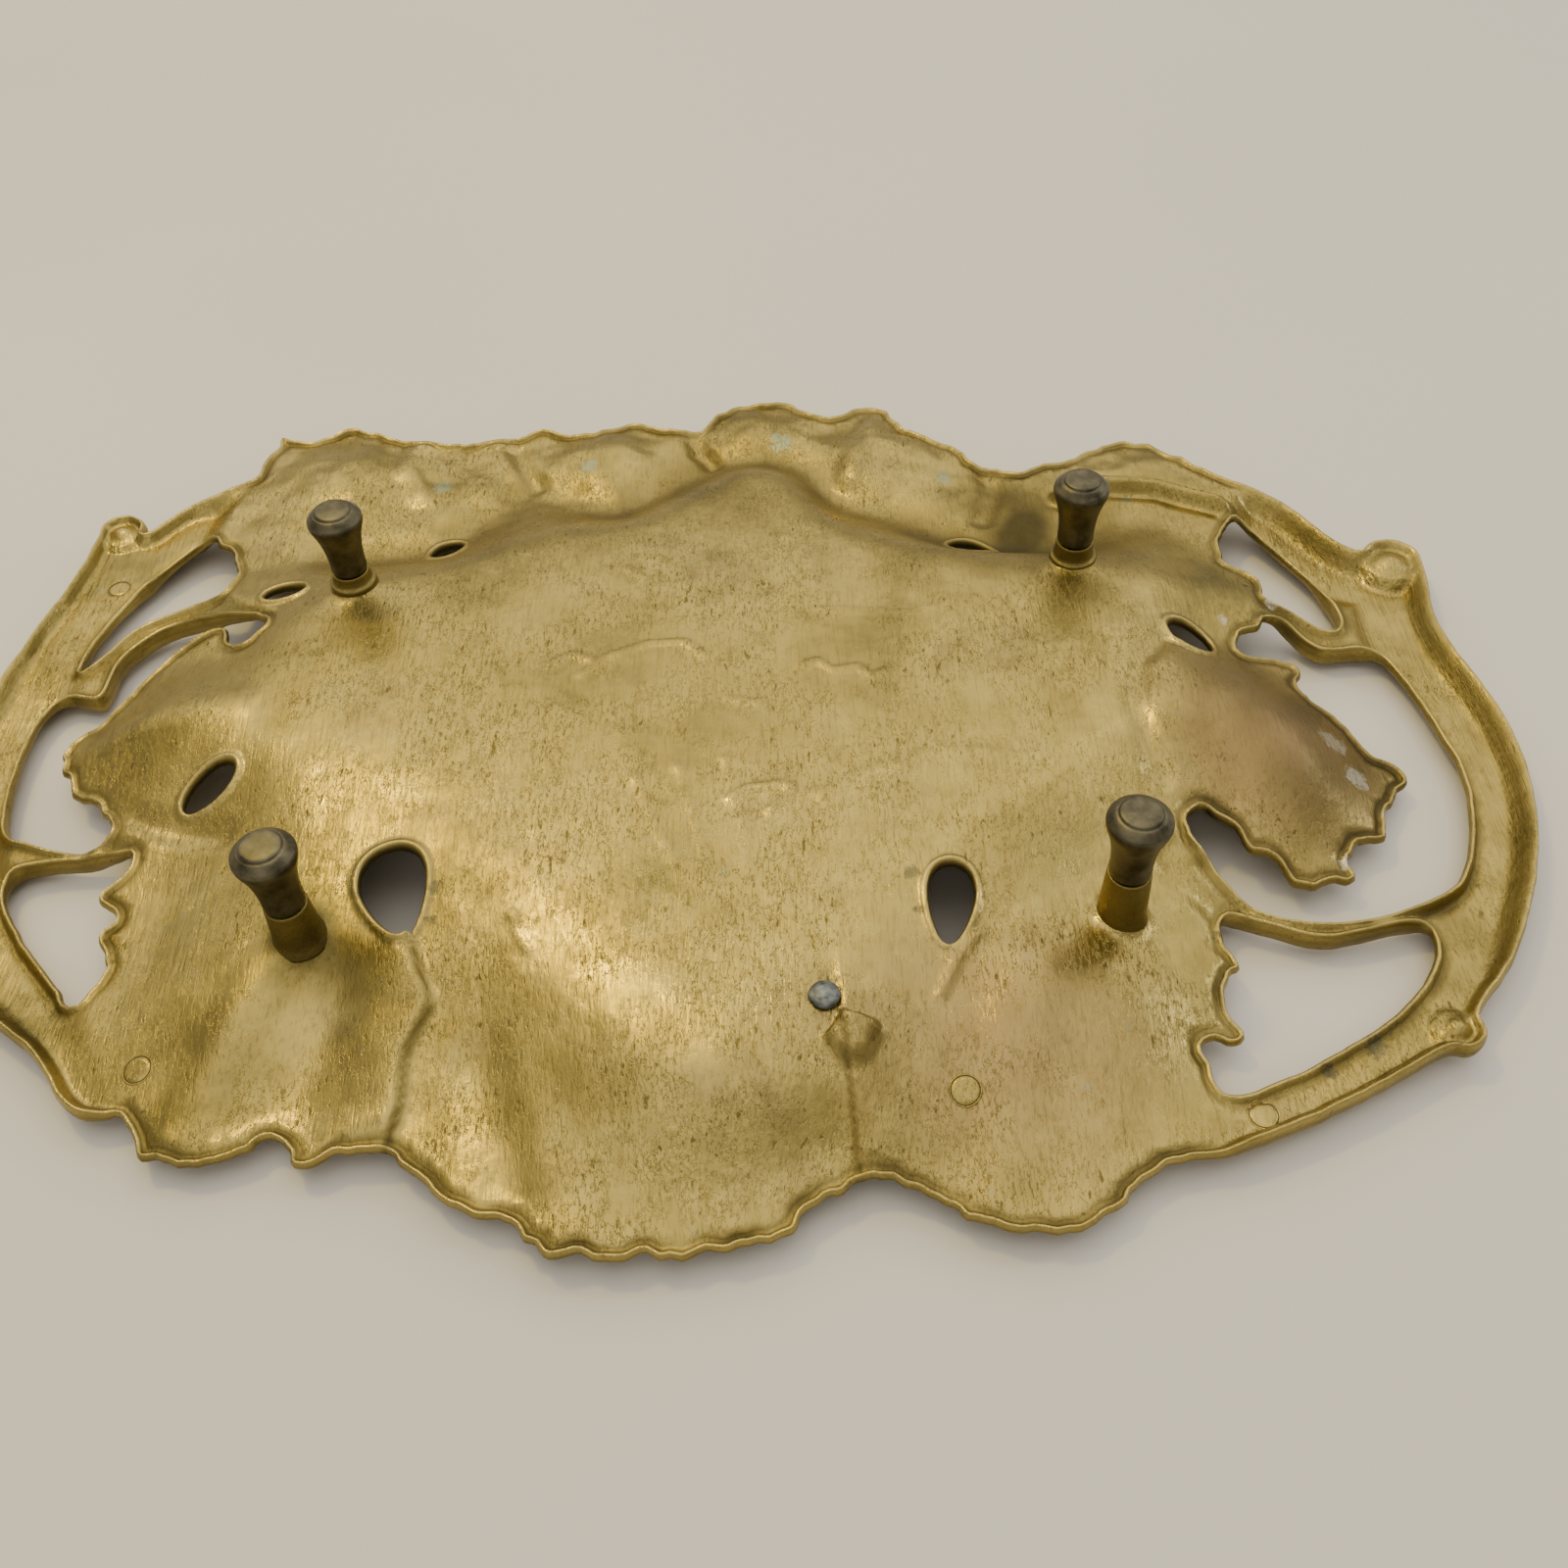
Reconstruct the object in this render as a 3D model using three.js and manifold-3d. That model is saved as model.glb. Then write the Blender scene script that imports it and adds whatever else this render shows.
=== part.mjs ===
// Cast brass tray in the form of a vine leaf, with two open branch handles and four turned feet.
// It lies face down: the rims touch the ground plane z = 0 and the feet stand up along +Z.
// Millimetres. +X runs to the right-hand handle, +Y to the ruffled margin with the notches.
import * as THREE from "three";
import { mergeVertices } from "three/addons/utils/BufferGeometryUtils.js";
import Module from "manifold-3d";

const wasm = await Module();
wasm.setup();

// ---------- driving dimensions ----------
const GAP = 0.3; // clearance between neighbouring pieces
const SHEET_THICK = 3; // wall of the leaf, measured upright
const GRID_STEP = 9; // facet size of the leaf's faces
const FLOOR_Z = 25; // outer face of the flat middle of the dish
const FLOOR_FALL = 0.03; // how fast the flat middle drops towards the front, per mm
const BACK_RIM_Z = 13;
const FRONT_RIM_Z = 7.5;
const VALLEY_DEPTH = 3; // groove just inside the curled back margin

const FOOT_JOINT_Z = 31; // where every foot screws down on its boss
const FOOT_LENGTH = 21;
const FOOT_RADIUS = 7.5;
const FOOT_NECK_RADIUS = 4.9;
const FOOT_END_RADIUS = 4.4;
const BOSS_RADIUS = 5.2;
const BOSS_ROOT_RADIUS = 8.5;
const STUD_RADIUS = 2;
const STUD_BOTTOM_Z = 23.4;
const STUD_LENGTH = 17;
const TURNED_SIDES = 20;

const HANDLE_RIM_Z = 9; // top of the two rims of a branch handle
const HANDLE_TROUGH_Z = 3.6; // bottom of the groove between them
const STEM_HEIGHT = 6;
const PLUG_RADIUS = 3.3;
const PLUG_DEPTH = 2;
const RIVET_RADIUS = 3.6;

const FEET = {
  back_left: [-101, 58.5],
  back_right: [101, 58.5],
  front_left: [-96.8, -58.5],
  front_right: [96.8, -58.5],
};

// ---------- outlines in plan ----------
// The leaf's margin, clockwise from the back left handle: only the tip of each lobe and the notch
// between it and the next, one stretch to a line.
const LEAF_MARGIN = [
  [-147, 128], [-142, 148], [-134, 144], [-120, 150], [-96, 141],
  [-68, 142], [-58, 146], [-43, 142], [-26, 147], [-7, 142],
  [4, 153], [20, 154], [36, 146], [51, 150], [58, 140], [74, 128], [86, 116],
  [108, 118], [130, 128], [145, 117], [158, 104],
  [154, 88], [147, 69], [155, 59], [153, 42], [144, 31],
  [160, 25], [158, 15], [167, 4], [170, -4], [178, -11], [170, -24], [168, -32],
  [156, -38], [157, -45], [144, -46], [132, -38], [122, -27], [113, -37], [108, -46],
  [118, -56], [124, -70], [119, -78], [120, -90], [111, -91], [113, -102], [109, -117],
  [96, -122], [78, -134], [58, -131], [32, -121], [12, -134], [-34, -134],
  [-44, -127], [-56, -123], [-71, -110], [-91, -112], [-97, -105], [-108, -111], [-122, -111],
  [-137, -97], [-150, -68], [-146, -59], [-151, -50], [-148, -42], [-154, -37], [-145, -22],
  [-160, -10], [-172, 1], [-177, 14], [-166, 25], [-158, 41], [-141, 53],
  [-133, 44], [-126, 50], [-145, 70], [-143, 82], [-154, 98],
];

// Openings where two lobes overlap: [x, y, half length, half width, turn in degrees, taper]. Each is
// an egg whose narrow end points along the turn. The two large ones point to the front.
const LEAF_HOLES = [
  [-75.5, -48, 12.5, 8, -75, 0.2],
  [56.5, -58, 10.5, 5.2, -98, 0.2],
  [129, 29.5, 6.5, 4.5, -40, 0],
  [-129.5, -9.5, 8, 4.2, -137, 0.1],
  [-124, 64.5, 6, 3, 5, 0],
  [-81, 87.5, 5, 3.5, 30, 0],
  [75, 77, 7, 4, -35, 0],
];
const HOLE_SIDES = 10;

// The flat middle of the dish. It runs out in tongues along the leaf's main veins.
const FLOOR_OUTLINE = [
  [12, 107], [-5, 96], [-18, 84], [-48, 76], [-77, 63], [-108, 55], [-117, 15], [-86, -14],
  [-56, -33], [-34, -58], [-6, -90], [14, -96], [34, -70], [60, -44], [92, -30],
  [114, 2], [116, 46], [64, 57], [38, 72], [28, 83], [20, 102],
];

// Swellings of single lobes above the general slope: [x, y, reach, height].
const LOBE_SWELLS = [
  [140, -8, 38, 5.5],
  [-142, 14, 32, 3.5],
  [-112, -72, 34, 3],
  [92, -84, 36, 2.5],
  [-8, -92, 46, 2.5],
];

// Branch handles: centre line and half width, from the back joint to the front one. A smooth curve
// joins the stations.
const LEFT_HANDLE = [
  [-138, 110, 11], [-165, 103, 9.5], [-186, 75, 8.5], [-197, 30, 8.5], [-196, -15, 8.5],
  [-182, -50, 8.5], [-154, -78, 9], [-124, -93, 9],
];
const RIGHT_HANDLE = [
  [140, 102, 9], [168, 88, 9], [189, 54, 8.8], [200, 10, 8.8], [198, -30, 8.3],
  [182, -64, 7.5], [150, -95, 7.5], [105, -111, 7.5],
];
// Stalks between the leaf and the handles: centre line, half width and height of the underside.
const LEFT_UPPER_STEM = [
  [-122, 60, 3.5, 9], [-140, 64, 4, 6], [-157, 66, 3, 4], [-170, 57, 3, 2.5], [-181, 39, 5, 1.5],
  [-191, 34, 5, 1.5],
];
const LEFT_LOWER_STEM = [[-139, -12, 3.5, 9], [-150, -20, 3.4, 7], [-163, -25, 2.8, 4], [-192, -17, 3, 1.5]];
const RIGHT_UPPER_STEM = [[145, 49, 3.8, 6], [156, 47, 3.6, 5], [170, 38, 3.2, 2.5], [188, 34, 4, 1.5]];
const RIGHT_LOWER_STEM = [
  [106, -35, 3.4, 13], [117, -42, 3, 11], [126, -54, 2.8, 7], [146, -61, 2.8, 4],
  [168, -56, 3, 2], [192, -48, 3, 1.5],
];

// Round plugs let into the casting (x, y), and the grey rivet.
const HANDLE_PLUGS = { left: [-181, 83], right: [121, -108] };
const LEAF_PLUGS = { front_left: [-131, -88], front: [56, -103] };
const RIVET = [26, -83];

// ---------- helpers ----------
function solidOf(geometry) {
  const bare = geometry.clone();
  bare.deleteAttribute("normal");
  bare.deleteAttribute("uv");
  const merged = mergeVertices(bare, 1e-4);
  return new wasm.Manifold(
    new wasm.Mesh({
      numProp: 3,
      vertProperties: new Float32Array(merged.attributes.position.array),
      triVerts: new Uint32Array(merged.index.array),
    }),
  );
}

function geometryOf(solid) {
  const mesh = solid.getMesh();
  const geometry = new THREE.BufferGeometry();
  geometry.setAttribute("position", new THREE.BufferAttribute(mesh.vertProperties, 3));
  geometry.setIndex(new THREE.BufferAttribute(mesh.triVerts, 1));
  geometry.computeVertexNormals();
  return geometry;
}

// A surface of revolution about the upright axis at (x, y); the profile is [radius, z] from the axis
// back to the axis.
function turned(profile, [x, y], sides = TURNED_SIDES) {
  const points = profile.map(([radius, z]) => new THREE.Vector2(radius, z));
  const geometry = new THREE.LatheGeometry(points, sides);
  geometry.rotateX(Math.PI / 2);
  geometry.translate(x, y, 0);
  return geometry;
}

function disc([x, y], radius, bottom, top, sides = TURNED_SIDES) {
  return turned([[0, bottom], [radius, bottom], [radius, top], [0, top]], [x, y], sides);
}

// An upright prism over a closed plan outline.
function prism(outline, bottom, top, holes = []) {
  const shape = new THREE.Shape(outline.map(([x, y]) => new THREE.Vector2(x, y)));
  for (const hole of holes) {
    shape.holes.push(new THREE.Path(hole.map(([x, y]) => new THREE.Vector2(x, y))));
  }
  const geometry = new THREE.ExtrudeGeometry(shape, { depth: top - bottom, bevelEnabled: false });
  geometry.translate(0, 0, bottom);
  return geometry;
}

// An egg-shaped opening, anticlockwise, narrower towards its turn.
function egg([x, y, halfLength, halfWidth, turn, taper]) {
  const heading = THREE.MathUtils.degToRad(turn);
  return Array.from({ length: HOLE_SIDES }, (_, k) => {
    const angle = (k / HOLE_SIDES) * 2 * Math.PI;
    const along = halfLength * Math.cos(angle);
    const across = halfWidth * Math.sin(angle) * (1 - taper * Math.cos(angle));
    return [
      x + along * Math.cos(heading) - across * Math.sin(heading),
      y + along * Math.sin(heading) + across * Math.cos(heading),
    ];
  });
}

// The outline moved outwards by a distance; the outline runs clockwise.
function grown(outline, distance) {
  return outline.map(([x, y], i) => {
    const [ax, ay] = outline.at(i - 1);
    const [bx, by] = outline[(i + 1) % outline.length];
    const before = new THREE.Vector2(-(y - ay), x - ax).normalize();
    const after = new THREE.Vector2(-(by - y), bx - x).normalize();
    const normal = before.clone().add(after).normalize();
    const stretch = distance / Math.max(0.5, normal.dot(before));
    return [x + normal.x * stretch, y + normal.y * stretch];
  });
}

function distanceToOutline(x, y, outline) {
  let best = Infinity;
  for (let i = 0; i < outline.length; i += 1) {
    const [ax, ay] = outline[i];
    const [bx, by] = outline[(i + 1) % outline.length];
    const along = ((x - ax) * (bx - ax) + (y - ay) * (by - ay)) / ((bx - ax) ** 2 + (by - ay) ** 2);
    const t = THREE.MathUtils.clamp(along, 0, 1);
    best = Math.min(best, Math.hypot(x - ax - t * (bx - ax), y - ay - t * (by - ay)));
  }
  return best;
}

function inside(x, y, outline) {
  let within = false;
  for (let i = 0; i < outline.length; i += 1) {
    const [ax, ay] = outline[i];
    const [bx, by] = outline[(i + 1) % outline.length];
    if (ay > y !== by > y && x < ax + ((y - ay) * (bx - ax)) / (by - ay)) within = !within;
  }
  return within;
}

// ---------- the leaf ----------
// Height of the leaf's outer face: flat in the middle of the dish, and falling to the rim.
function leafHeight(x, y) {
  const toBack = THREE.MathUtils.smoothstep(y, -20, 110);
  const rim = FRONT_RIM_Z + (BACK_RIM_Z - FRONT_RIM_Z) * toBack;
  const floor = FLOOR_Z + FLOOR_FALL * Math.min(0, y);
  if (inside(x, y, FLOOR_OUTLINE)) return floor;
  const toRim = inside(x, y, LEAF_MARGIN) ? distanceToOutline(x, y, LEAF_MARGIN) : 0;
  const toFloor = distanceToOutline(x, y, FLOOR_OUTLINE);
  const share = toRim / (toRim + toFloor);
  const rise = THREE.MathUtils.smoothstep(share, 0, 1);
  const valley = VALLEY_DEPTH * toBack * Math.sin(Math.PI * Math.min(1, share * 1.8)) ** 2;
  let swell = 0;
  for (const [cx, cy, reach, height] of LOBE_SWELLS) {
    const away = Math.min(1, Math.hypot(x - cx, y - cy) / reach);
    swell += height * (1 - away * away) ** 2;
  }
  return rim + (floor - rim) * rise - valley + swell * Math.min(1, toRim / 12);
}

// A slab whose two faces follow leafHeight over a rectangular grid.
function leafSlab() {
  const columns = Math.ceil(350 / GRID_STEP);
  const rows = Math.ceil(300 / GRID_STEP);
  const positions = [];
  for (const drop of [0, SHEET_THICK]) {
    for (let j = 0; j <= rows; j += 1) {
      for (let i = 0; i <= columns; i += 1) {
        const x = -181 + i * GRID_STEP;
        const y = -140 + j * GRID_STEP;
        positions.push(x, y, leafHeight(x, y) - drop);
      }
    }
  }
  const at = (i, j, layer) => layer * (rows + 1) * (columns + 1) + j * (columns + 1) + i;
  const faces = [];
  const quad = (a, b, c, d) => faces.push(a, b, c, a, c, d);
  for (let j = 0; j < rows; j += 1) {
    for (let i = 0; i < columns; i += 1) {
      quad(at(i, j, 0), at(i + 1, j, 0), at(i + 1, j + 1, 0), at(i, j + 1, 0));
      quad(at(i, j, 1), at(i, j + 1, 1), at(i + 1, j + 1, 1), at(i + 1, j, 1));
    }
  }
  for (let i = 0; i < columns; i += 1) {
    quad(at(i, 0, 1), at(i + 1, 0, 1), at(i + 1, 0, 0), at(i, 0, 0));
    quad(at(i + 1, rows, 1), at(i, rows, 1), at(i, rows, 0), at(i + 1, rows, 0));
  }
  for (let j = 0; j < rows; j += 1) {
    quad(at(0, j + 1, 1), at(0, j, 1), at(0, j, 0), at(0, j + 1, 0));
    quad(at(columns, j, 1), at(columns, j + 1, 1), at(columns, j + 1, 0), at(columns, j, 0));
  }
  const geometry = new THREE.BufferGeometry();
  geometry.setAttribute("position", new THREE.Float32BufferAttribute(positions, 3));
  geometry.setIndex(faces);
  return geometry;
}

// A cast boss under a foot: it flares into the leaf and carries a small bead below the joint.
function boss([x, y]) {
  const root = leafHeight(x, y) - 2;
  return turned([
    [0, root],
    [BOSS_ROOT_RADIUS - 1, root],
    [BOSS_ROOT_RADIUS - 2.2, root + 3.2],
    [BOSS_RADIUS, FOOT_JOINT_Z - 2.2],
    [BOSS_RADIUS + 0.6, FOOT_JOINT_Z - 1.2],
    [BOSS_RADIUS, FOOT_JOINT_Z],
    [0, FOOT_JOINT_Z],
  ], [x, y]);
}

function leafBody() {
  const plan = solidOf(prism(LEAF_MARGIN, -10, 60, LEAF_HOLES.map(egg)));
  let leaf = solidOf(leafSlab()).intersect(plan);
  for (const axis of Object.values(FEET)) {
    leaf = leaf.add(solidOf(boss(axis)));
    leaf = leaf.subtract(solidOf(disc(axis, STUD_RADIUS + GAP, STUD_BOTTOM_Z - GAP, 60, 12)));
  }
  for (const [x, y] of Object.values(LEAF_PLUGS)) {
    const bottom = leafHeight(x, y) - PLUG_DEPTH - GAP;
    leaf = leaf.subtract(solidOf(disc([x, y], PLUG_RADIUS + GAP, bottom, 60)));
  }
  const rivetHole = disc(RIVET, RIVET_RADIUS / 2 + GAP, leafHeight(...RIVET) - PLUG_DEPTH - GAP, 60, 12);
  return leaf.subtract(solidOf(rivetHole));
}

// ---------- handles and stems ----------
// A bar swept along a plan curve. Each station is [x, y, half width, ...]; the section gives
// [across, z] points for a station, anticlockwise when looking back along the bar.
function sweptBar(stations, section, steps) {
  const track = new THREE.CatmullRomCurve3(
    stations.map(([x, y]) => new THREE.Vector3(x, y, 0)),
    false,
    "centripetal",
  );
  const blend = (t, k) => {
    const place = t * (stations.length - 1);
    const i = Math.min(stations.length - 2, Math.floor(place));
    return THREE.MathUtils.lerp(stations[i][k], stations[i + 1][k], place - i);
  };
  const positions = [];
  const count = section(5, 0).length;
  for (let s = 0; s <= steps; s += 1) {
    const t = s / steps;
    const centre = track.getPoint(t);
    const along = track.getTangent(t);
    const bottom = stations[0].length > 3 ? blend(t, 3) : 0;
    for (const [across, z] of section(blend(t, 2), bottom)) {
      positions.push(centre.x - along.y * across, centre.y + along.x * across, z);
    }
  }
  const faces = [];
  for (let s = 0; s < steps; s += 1) {
    for (let k = 0; k < count; k += 1) {
      const a = s * count + k;
      const b = s * count + ((k + 1) % count);
      faces.push(a, b, b + count, a, b + count, a + count);
    }
  }
  for (const [first, flip] of [[0, true], [steps * count, false]]) {
    const ring = Array.from({ length: count }, (_, k) => first + k);
    const flat = ring.map((_, k) => new THREE.Vector2(...section(5, 0)[k]));
    for (const [a, b, c] of THREE.ShapeUtils.triangulateShape(flat, [])) {
      faces.push(ring[a], ring[flip ? c : b], ring[flip ? b : c]);
    }
  }
  const geometry = new THREE.BufferGeometry();
  geometry.setAttribute("position", new THREE.Float32BufferAttribute(positions, 3));
  geometry.setIndex(faces);
  return geometry;
}

// The branch handle's section: a bow that touches the ground along its middle, hollowed on top
// between two rounded rims.
const troughSection = (half) => [
  [0, 0], [half * 0.6, 1], [half, 4.5], [half, HANDLE_RIM_Z - 1], [half - 1, HANDLE_RIM_Z],
  [half - 2.4, HANDLE_RIM_Z], [half * 0.45, HANDLE_TROUGH_Z + 0.4], [0, HANDLE_TROUGH_Z],
  [-half * 0.45, HANDLE_TROUGH_Z + 0.4], [-half + 2.4, HANDLE_RIM_Z],
  [-half + 1, HANDLE_RIM_Z], [-half, HANDLE_RIM_Z - 1], [-half, 4.5], [-half * 0.6, 1],
];

// The stems' section: a plain bar with a rounded top.
const barSection = (half, bottom) => [
  [0, bottom], [half, bottom + 1.5], [half, bottom + STEM_HEIGHT - 1.5],
  [half * 0.5, bottom + STEM_HEIGHT], [-half * 0.5, bottom + STEM_HEIGHT],
  [-half, bottom + STEM_HEIGHT - 1.5], [-half, bottom + 1.5],
];

// A full upright wall around a handle, used to stop the stems short of it.
const clearanceSection = (half) => [
  [half + GAP, -5], [half + GAP, 40], [-half - GAP, 40], [-half - GAP, -5],
];

const leafClearance = solidOf(prism(grown(LEAF_MARGIN, GAP), -20, 70));

// The cut-off twig stumps that stand out from the handles: [x, y, radius].
const KNUCKLES = {
  left: [[-183, 107, 7.5]],
  right: [[197, 70, 8], [169, -89, 5.5]],
};

function handleBody(stations, knuckles, plug) {
  let bar = solidOf(sweptBar(stations, troughSection, 44));
  for (const [x, y, radius] of knuckles) {
    const knuckle = [[0, 1.5], [radius * 0.8, 1.5], [radius, 4], [radius, 8], [radius * 0.75, 10], [0, 10]];
    bar = bar.add(solidOf(turned(knuckle, [x, y])));
  }
  bar = bar.subtract(leafClearance);
  const pocket = disc(plug, PLUG_RADIUS + GAP, HANDLE_TROUGH_Z - PLUG_DEPTH - GAP, 40);
  return bar.subtract(solidOf(pocket));
}

function stemBody(stations, handleStations) {
  const wall = solidOf(sweptBar(handleStations, clearanceSection, 44));
  return solidOf(sweptBar(stations, barSection, 14)).subtract(leafClearance).subtract(wall);
}

// ---------- feet, studs, plugs and the rivet ----------
function foot([x, y]) {
  const base = FOOT_JOINT_Z + GAP;
  const top = FOOT_JOINT_Z + FOOT_LENGTH;
  const bore = STUD_BOTTOM_Z + STUD_LENGTH + GAP;
  return turned([
    [0, bore],
    [STUD_RADIUS + GAP, bore],
    [STUD_RADIUS + GAP, base],
    [FOOT_NECK_RADIUS, base],
    [FOOT_NECK_RADIUS + 0.1, base + 5],
    [FOOT_NECK_RADIUS + 1.2, base + 11],
    [FOOT_RADIUS, top - 4.6],
    [FOOT_RADIUS, top - 2.6],
    [FOOT_END_RADIUS + 1, top - 0.9],
    [FOOT_END_RADIUS + 0.3, top - 0.6],
    [FOOT_END_RADIUS, top],
    [0, top],
  ], [x, y], 24);
}

function stud(axis) {
  const top = STUD_BOTTOM_Z + STUD_LENGTH;
  return turned([
    [0, STUD_BOTTOM_Z],
    [STUD_RADIUS - 0.5, STUD_BOTTOM_Z],
    [STUD_RADIUS, STUD_BOTTOM_Z + 0.5],
    [STUD_RADIUS, top - 0.5],
    [STUD_RADIUS - 0.5, top],
    [0, top],
  ], axis, 12);
}

const plugIn = (axis, surface) => disc(axis, PLUG_RADIUS, surface - PLUG_DEPTH, surface);

function rivet([x, y]) {
  const surface = leafHeight(x, y) + 1.1;
  const shank = RIVET_RADIUS / 2;
  return turned([
    [0, leafHeight(x, y) - PLUG_DEPTH],
    [shank, leafHeight(x, y) - PLUG_DEPTH],
    [shank, surface],
    [RIVET_RADIUS, surface],
    [RIVET_RADIUS * 0.9, surface + 0.9],
    [RIVET_RADIUS * 0.55, surface + 1.8],
    [0, surface + 2.2],
  ], [x, y], 16);
}

// ---------- assembly ----------
const tray = new THREE.Group();

function place(name, geometry, color, roughness, metalness = 1) {
  const mesh = new THREE.Mesh(geometry, new THREE.MeshStandardMaterial({ color, roughness, metalness }));
  mesh.name = name;
  tray.add(mesh);
}

const CAST_BRASS = 0x9c8350;
const FOOT_BRONZE = 0x5f5638;
const PLUG_BRASS = 0xa88c55;
const STEEL = 0x77736a;
const LEAD = 0x5d6468;

place("leaf_body", geometryOf(leafBody()), CAST_BRASS, 0.42);
place("left_handle", geometryOf(handleBody(LEFT_HANDLE, KNUCKLES.left, HANDLE_PLUGS.left)), CAST_BRASS, 0.45);
const rightHandle = handleBody(RIGHT_HANDLE, KNUCKLES.right, HANDLE_PLUGS.right);
place("right_handle", geometryOf(rightHandle), CAST_BRASS, 0.46);
place("left_upper_stem", geometryOf(stemBody(LEFT_UPPER_STEM, LEFT_HANDLE)), CAST_BRASS, 0.43);
place("left_lower_stem", geometryOf(stemBody(LEFT_LOWER_STEM, LEFT_HANDLE)), CAST_BRASS, 0.43);
place("right_upper_stem", geometryOf(stemBody(RIGHT_UPPER_STEM, RIGHT_HANDLE)), CAST_BRASS, 0.43);
place("right_lower_stem", geometryOf(stemBody(RIGHT_LOWER_STEM, RIGHT_HANDLE)), CAST_BRASS, 0.43);

for (const [corner, axis] of Object.entries(FEET)) {
  place(`foot_${corner}`, foot(axis), FOOT_BRONZE, 0.5);
  place(`foot_stud_${corner}`, stud(axis), STEEL, 0.5);
}
for (const [side, axis] of Object.entries(HANDLE_PLUGS)) {
  place(`plug_${side}_handle`, plugIn(axis, HANDLE_TROUGH_Z), PLUG_BRASS, 0.4);
}
for (const [where, axis] of Object.entries(LEAF_PLUGS)) {
  place(`plug_leaf_${where}`, plugIn(axis, leafHeight(...axis)), PLUG_BRASS, 0.4);
}
place("repair_rivet", rivet(RIVET), LEAD, 0.6, 0.8);

// The origin is at the middle of the whole tray's box, on the ground.
const box = new THREE.Box3().setFromObject(tray);
const middle = box.getCenter(new THREE.Vector3());
tray.position.set(-middle.x, -middle.y, -box.min.z);

export default tray;
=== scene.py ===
import math

import bpy
import numpy as np
from mathutils import Matrix, Vector, geometry, kdtree, noise


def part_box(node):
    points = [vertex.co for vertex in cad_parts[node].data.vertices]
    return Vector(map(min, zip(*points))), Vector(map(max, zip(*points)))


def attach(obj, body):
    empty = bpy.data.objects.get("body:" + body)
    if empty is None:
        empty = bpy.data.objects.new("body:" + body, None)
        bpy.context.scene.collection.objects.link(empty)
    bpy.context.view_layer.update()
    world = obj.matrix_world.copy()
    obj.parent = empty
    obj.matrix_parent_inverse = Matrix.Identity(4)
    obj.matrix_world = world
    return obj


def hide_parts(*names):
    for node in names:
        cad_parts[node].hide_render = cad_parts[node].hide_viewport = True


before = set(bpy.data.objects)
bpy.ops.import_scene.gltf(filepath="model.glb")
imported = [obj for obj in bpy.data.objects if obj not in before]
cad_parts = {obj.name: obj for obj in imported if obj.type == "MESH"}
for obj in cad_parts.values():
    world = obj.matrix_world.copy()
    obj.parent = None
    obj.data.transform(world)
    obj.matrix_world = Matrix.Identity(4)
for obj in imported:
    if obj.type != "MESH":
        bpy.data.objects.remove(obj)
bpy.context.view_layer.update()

# ---------- the camera ----------
# A vine-leaf tray, cast in brass, lies face down with its four feet up. A person stands in front of it
# and looks down by about 48 degrees. Sizes are millimetres from the point midway between the feet, +X
# to the right-hand branch and +Y to the ruffled margin.
MM = 0.001
CORNERS = ("back_left", "back_right", "front_left", "front_right")
FOOT_BOX = {corner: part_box(f"foot_{corner}") for corner in CORNERS}
FOOT_AXIS = {corner: (Vector(low) + Vector(high)) / 2 for corner, (low, high) in FOOT_BOX.items()}
MIDDLE = sum(FOOT_AXIS.values(), Vector()) / 4


def in_tray(point):
    """A point in metres in the frame, given in the tray's millimetres."""
    x, y, z = point
    return Vector((MIDDLE.x + x * MM, MIDDLE.y + y * MM, z * MM))


CAMERA_PLACE = (23.5, -279.2, 314.4)
LOOK_DOWN = math.radians(48.44)
TURN = math.radians(1.14)
ROLL = math.radians(-3.06)

eye_back = Vector((
    math.sin(TURN) * math.cos(LOOK_DOWN),
    -math.cos(TURN) * math.cos(LOOK_DOWN),
    math.sin(LOOK_DOWN),
))
level = Vector((0, 0, 1)).cross(eye_back).normalized()
upward = eye_back.cross(level)
eye_right = level * math.cos(ROLL) + upward * math.sin(ROLL)
eye_up = upward * math.cos(ROLL) - level * math.sin(ROLL)

camera_data = bpy.data.cameras.new("camera")
camera_data.lens = 36
camera_data.sensor_width = 36
camera_data.clip_start = 0.01
camera = bpy.data.objects.new("camera", camera_data)
camera.matrix_world = Matrix.Translation(in_tray(CAMERA_PLACE)) @ Matrix(
    (eye_right, eye_up, eye_back)
).transposed().to_4x4()
bpy.context.collection.objects.link(camera)
bpy.context.scene.camera = camera


# ---------- floor and lights ----------
# A pale painted board, faintly mottled and matt, under plain studio light: wide soft panels behind and
# above for the metal to mirror, a small bright one that draws the yellow glints, and a little fill
# from the right and the front.
FLOOR_SIZE = 5.0
FLOOR_PATCHES = 9.0


def paint(hex_colour):
    """Linear RGBA from an sRGB hex value."""
    channels = [int(hex_colour[i:i + 2], 16) / 255 for i in (1, 3, 5)]
    linear = [c / 12.92 if c <= 0.04045 else ((c + 0.055) / 1.055) ** 2.4 for c in channels]
    return (*linear, 1.0)


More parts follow.
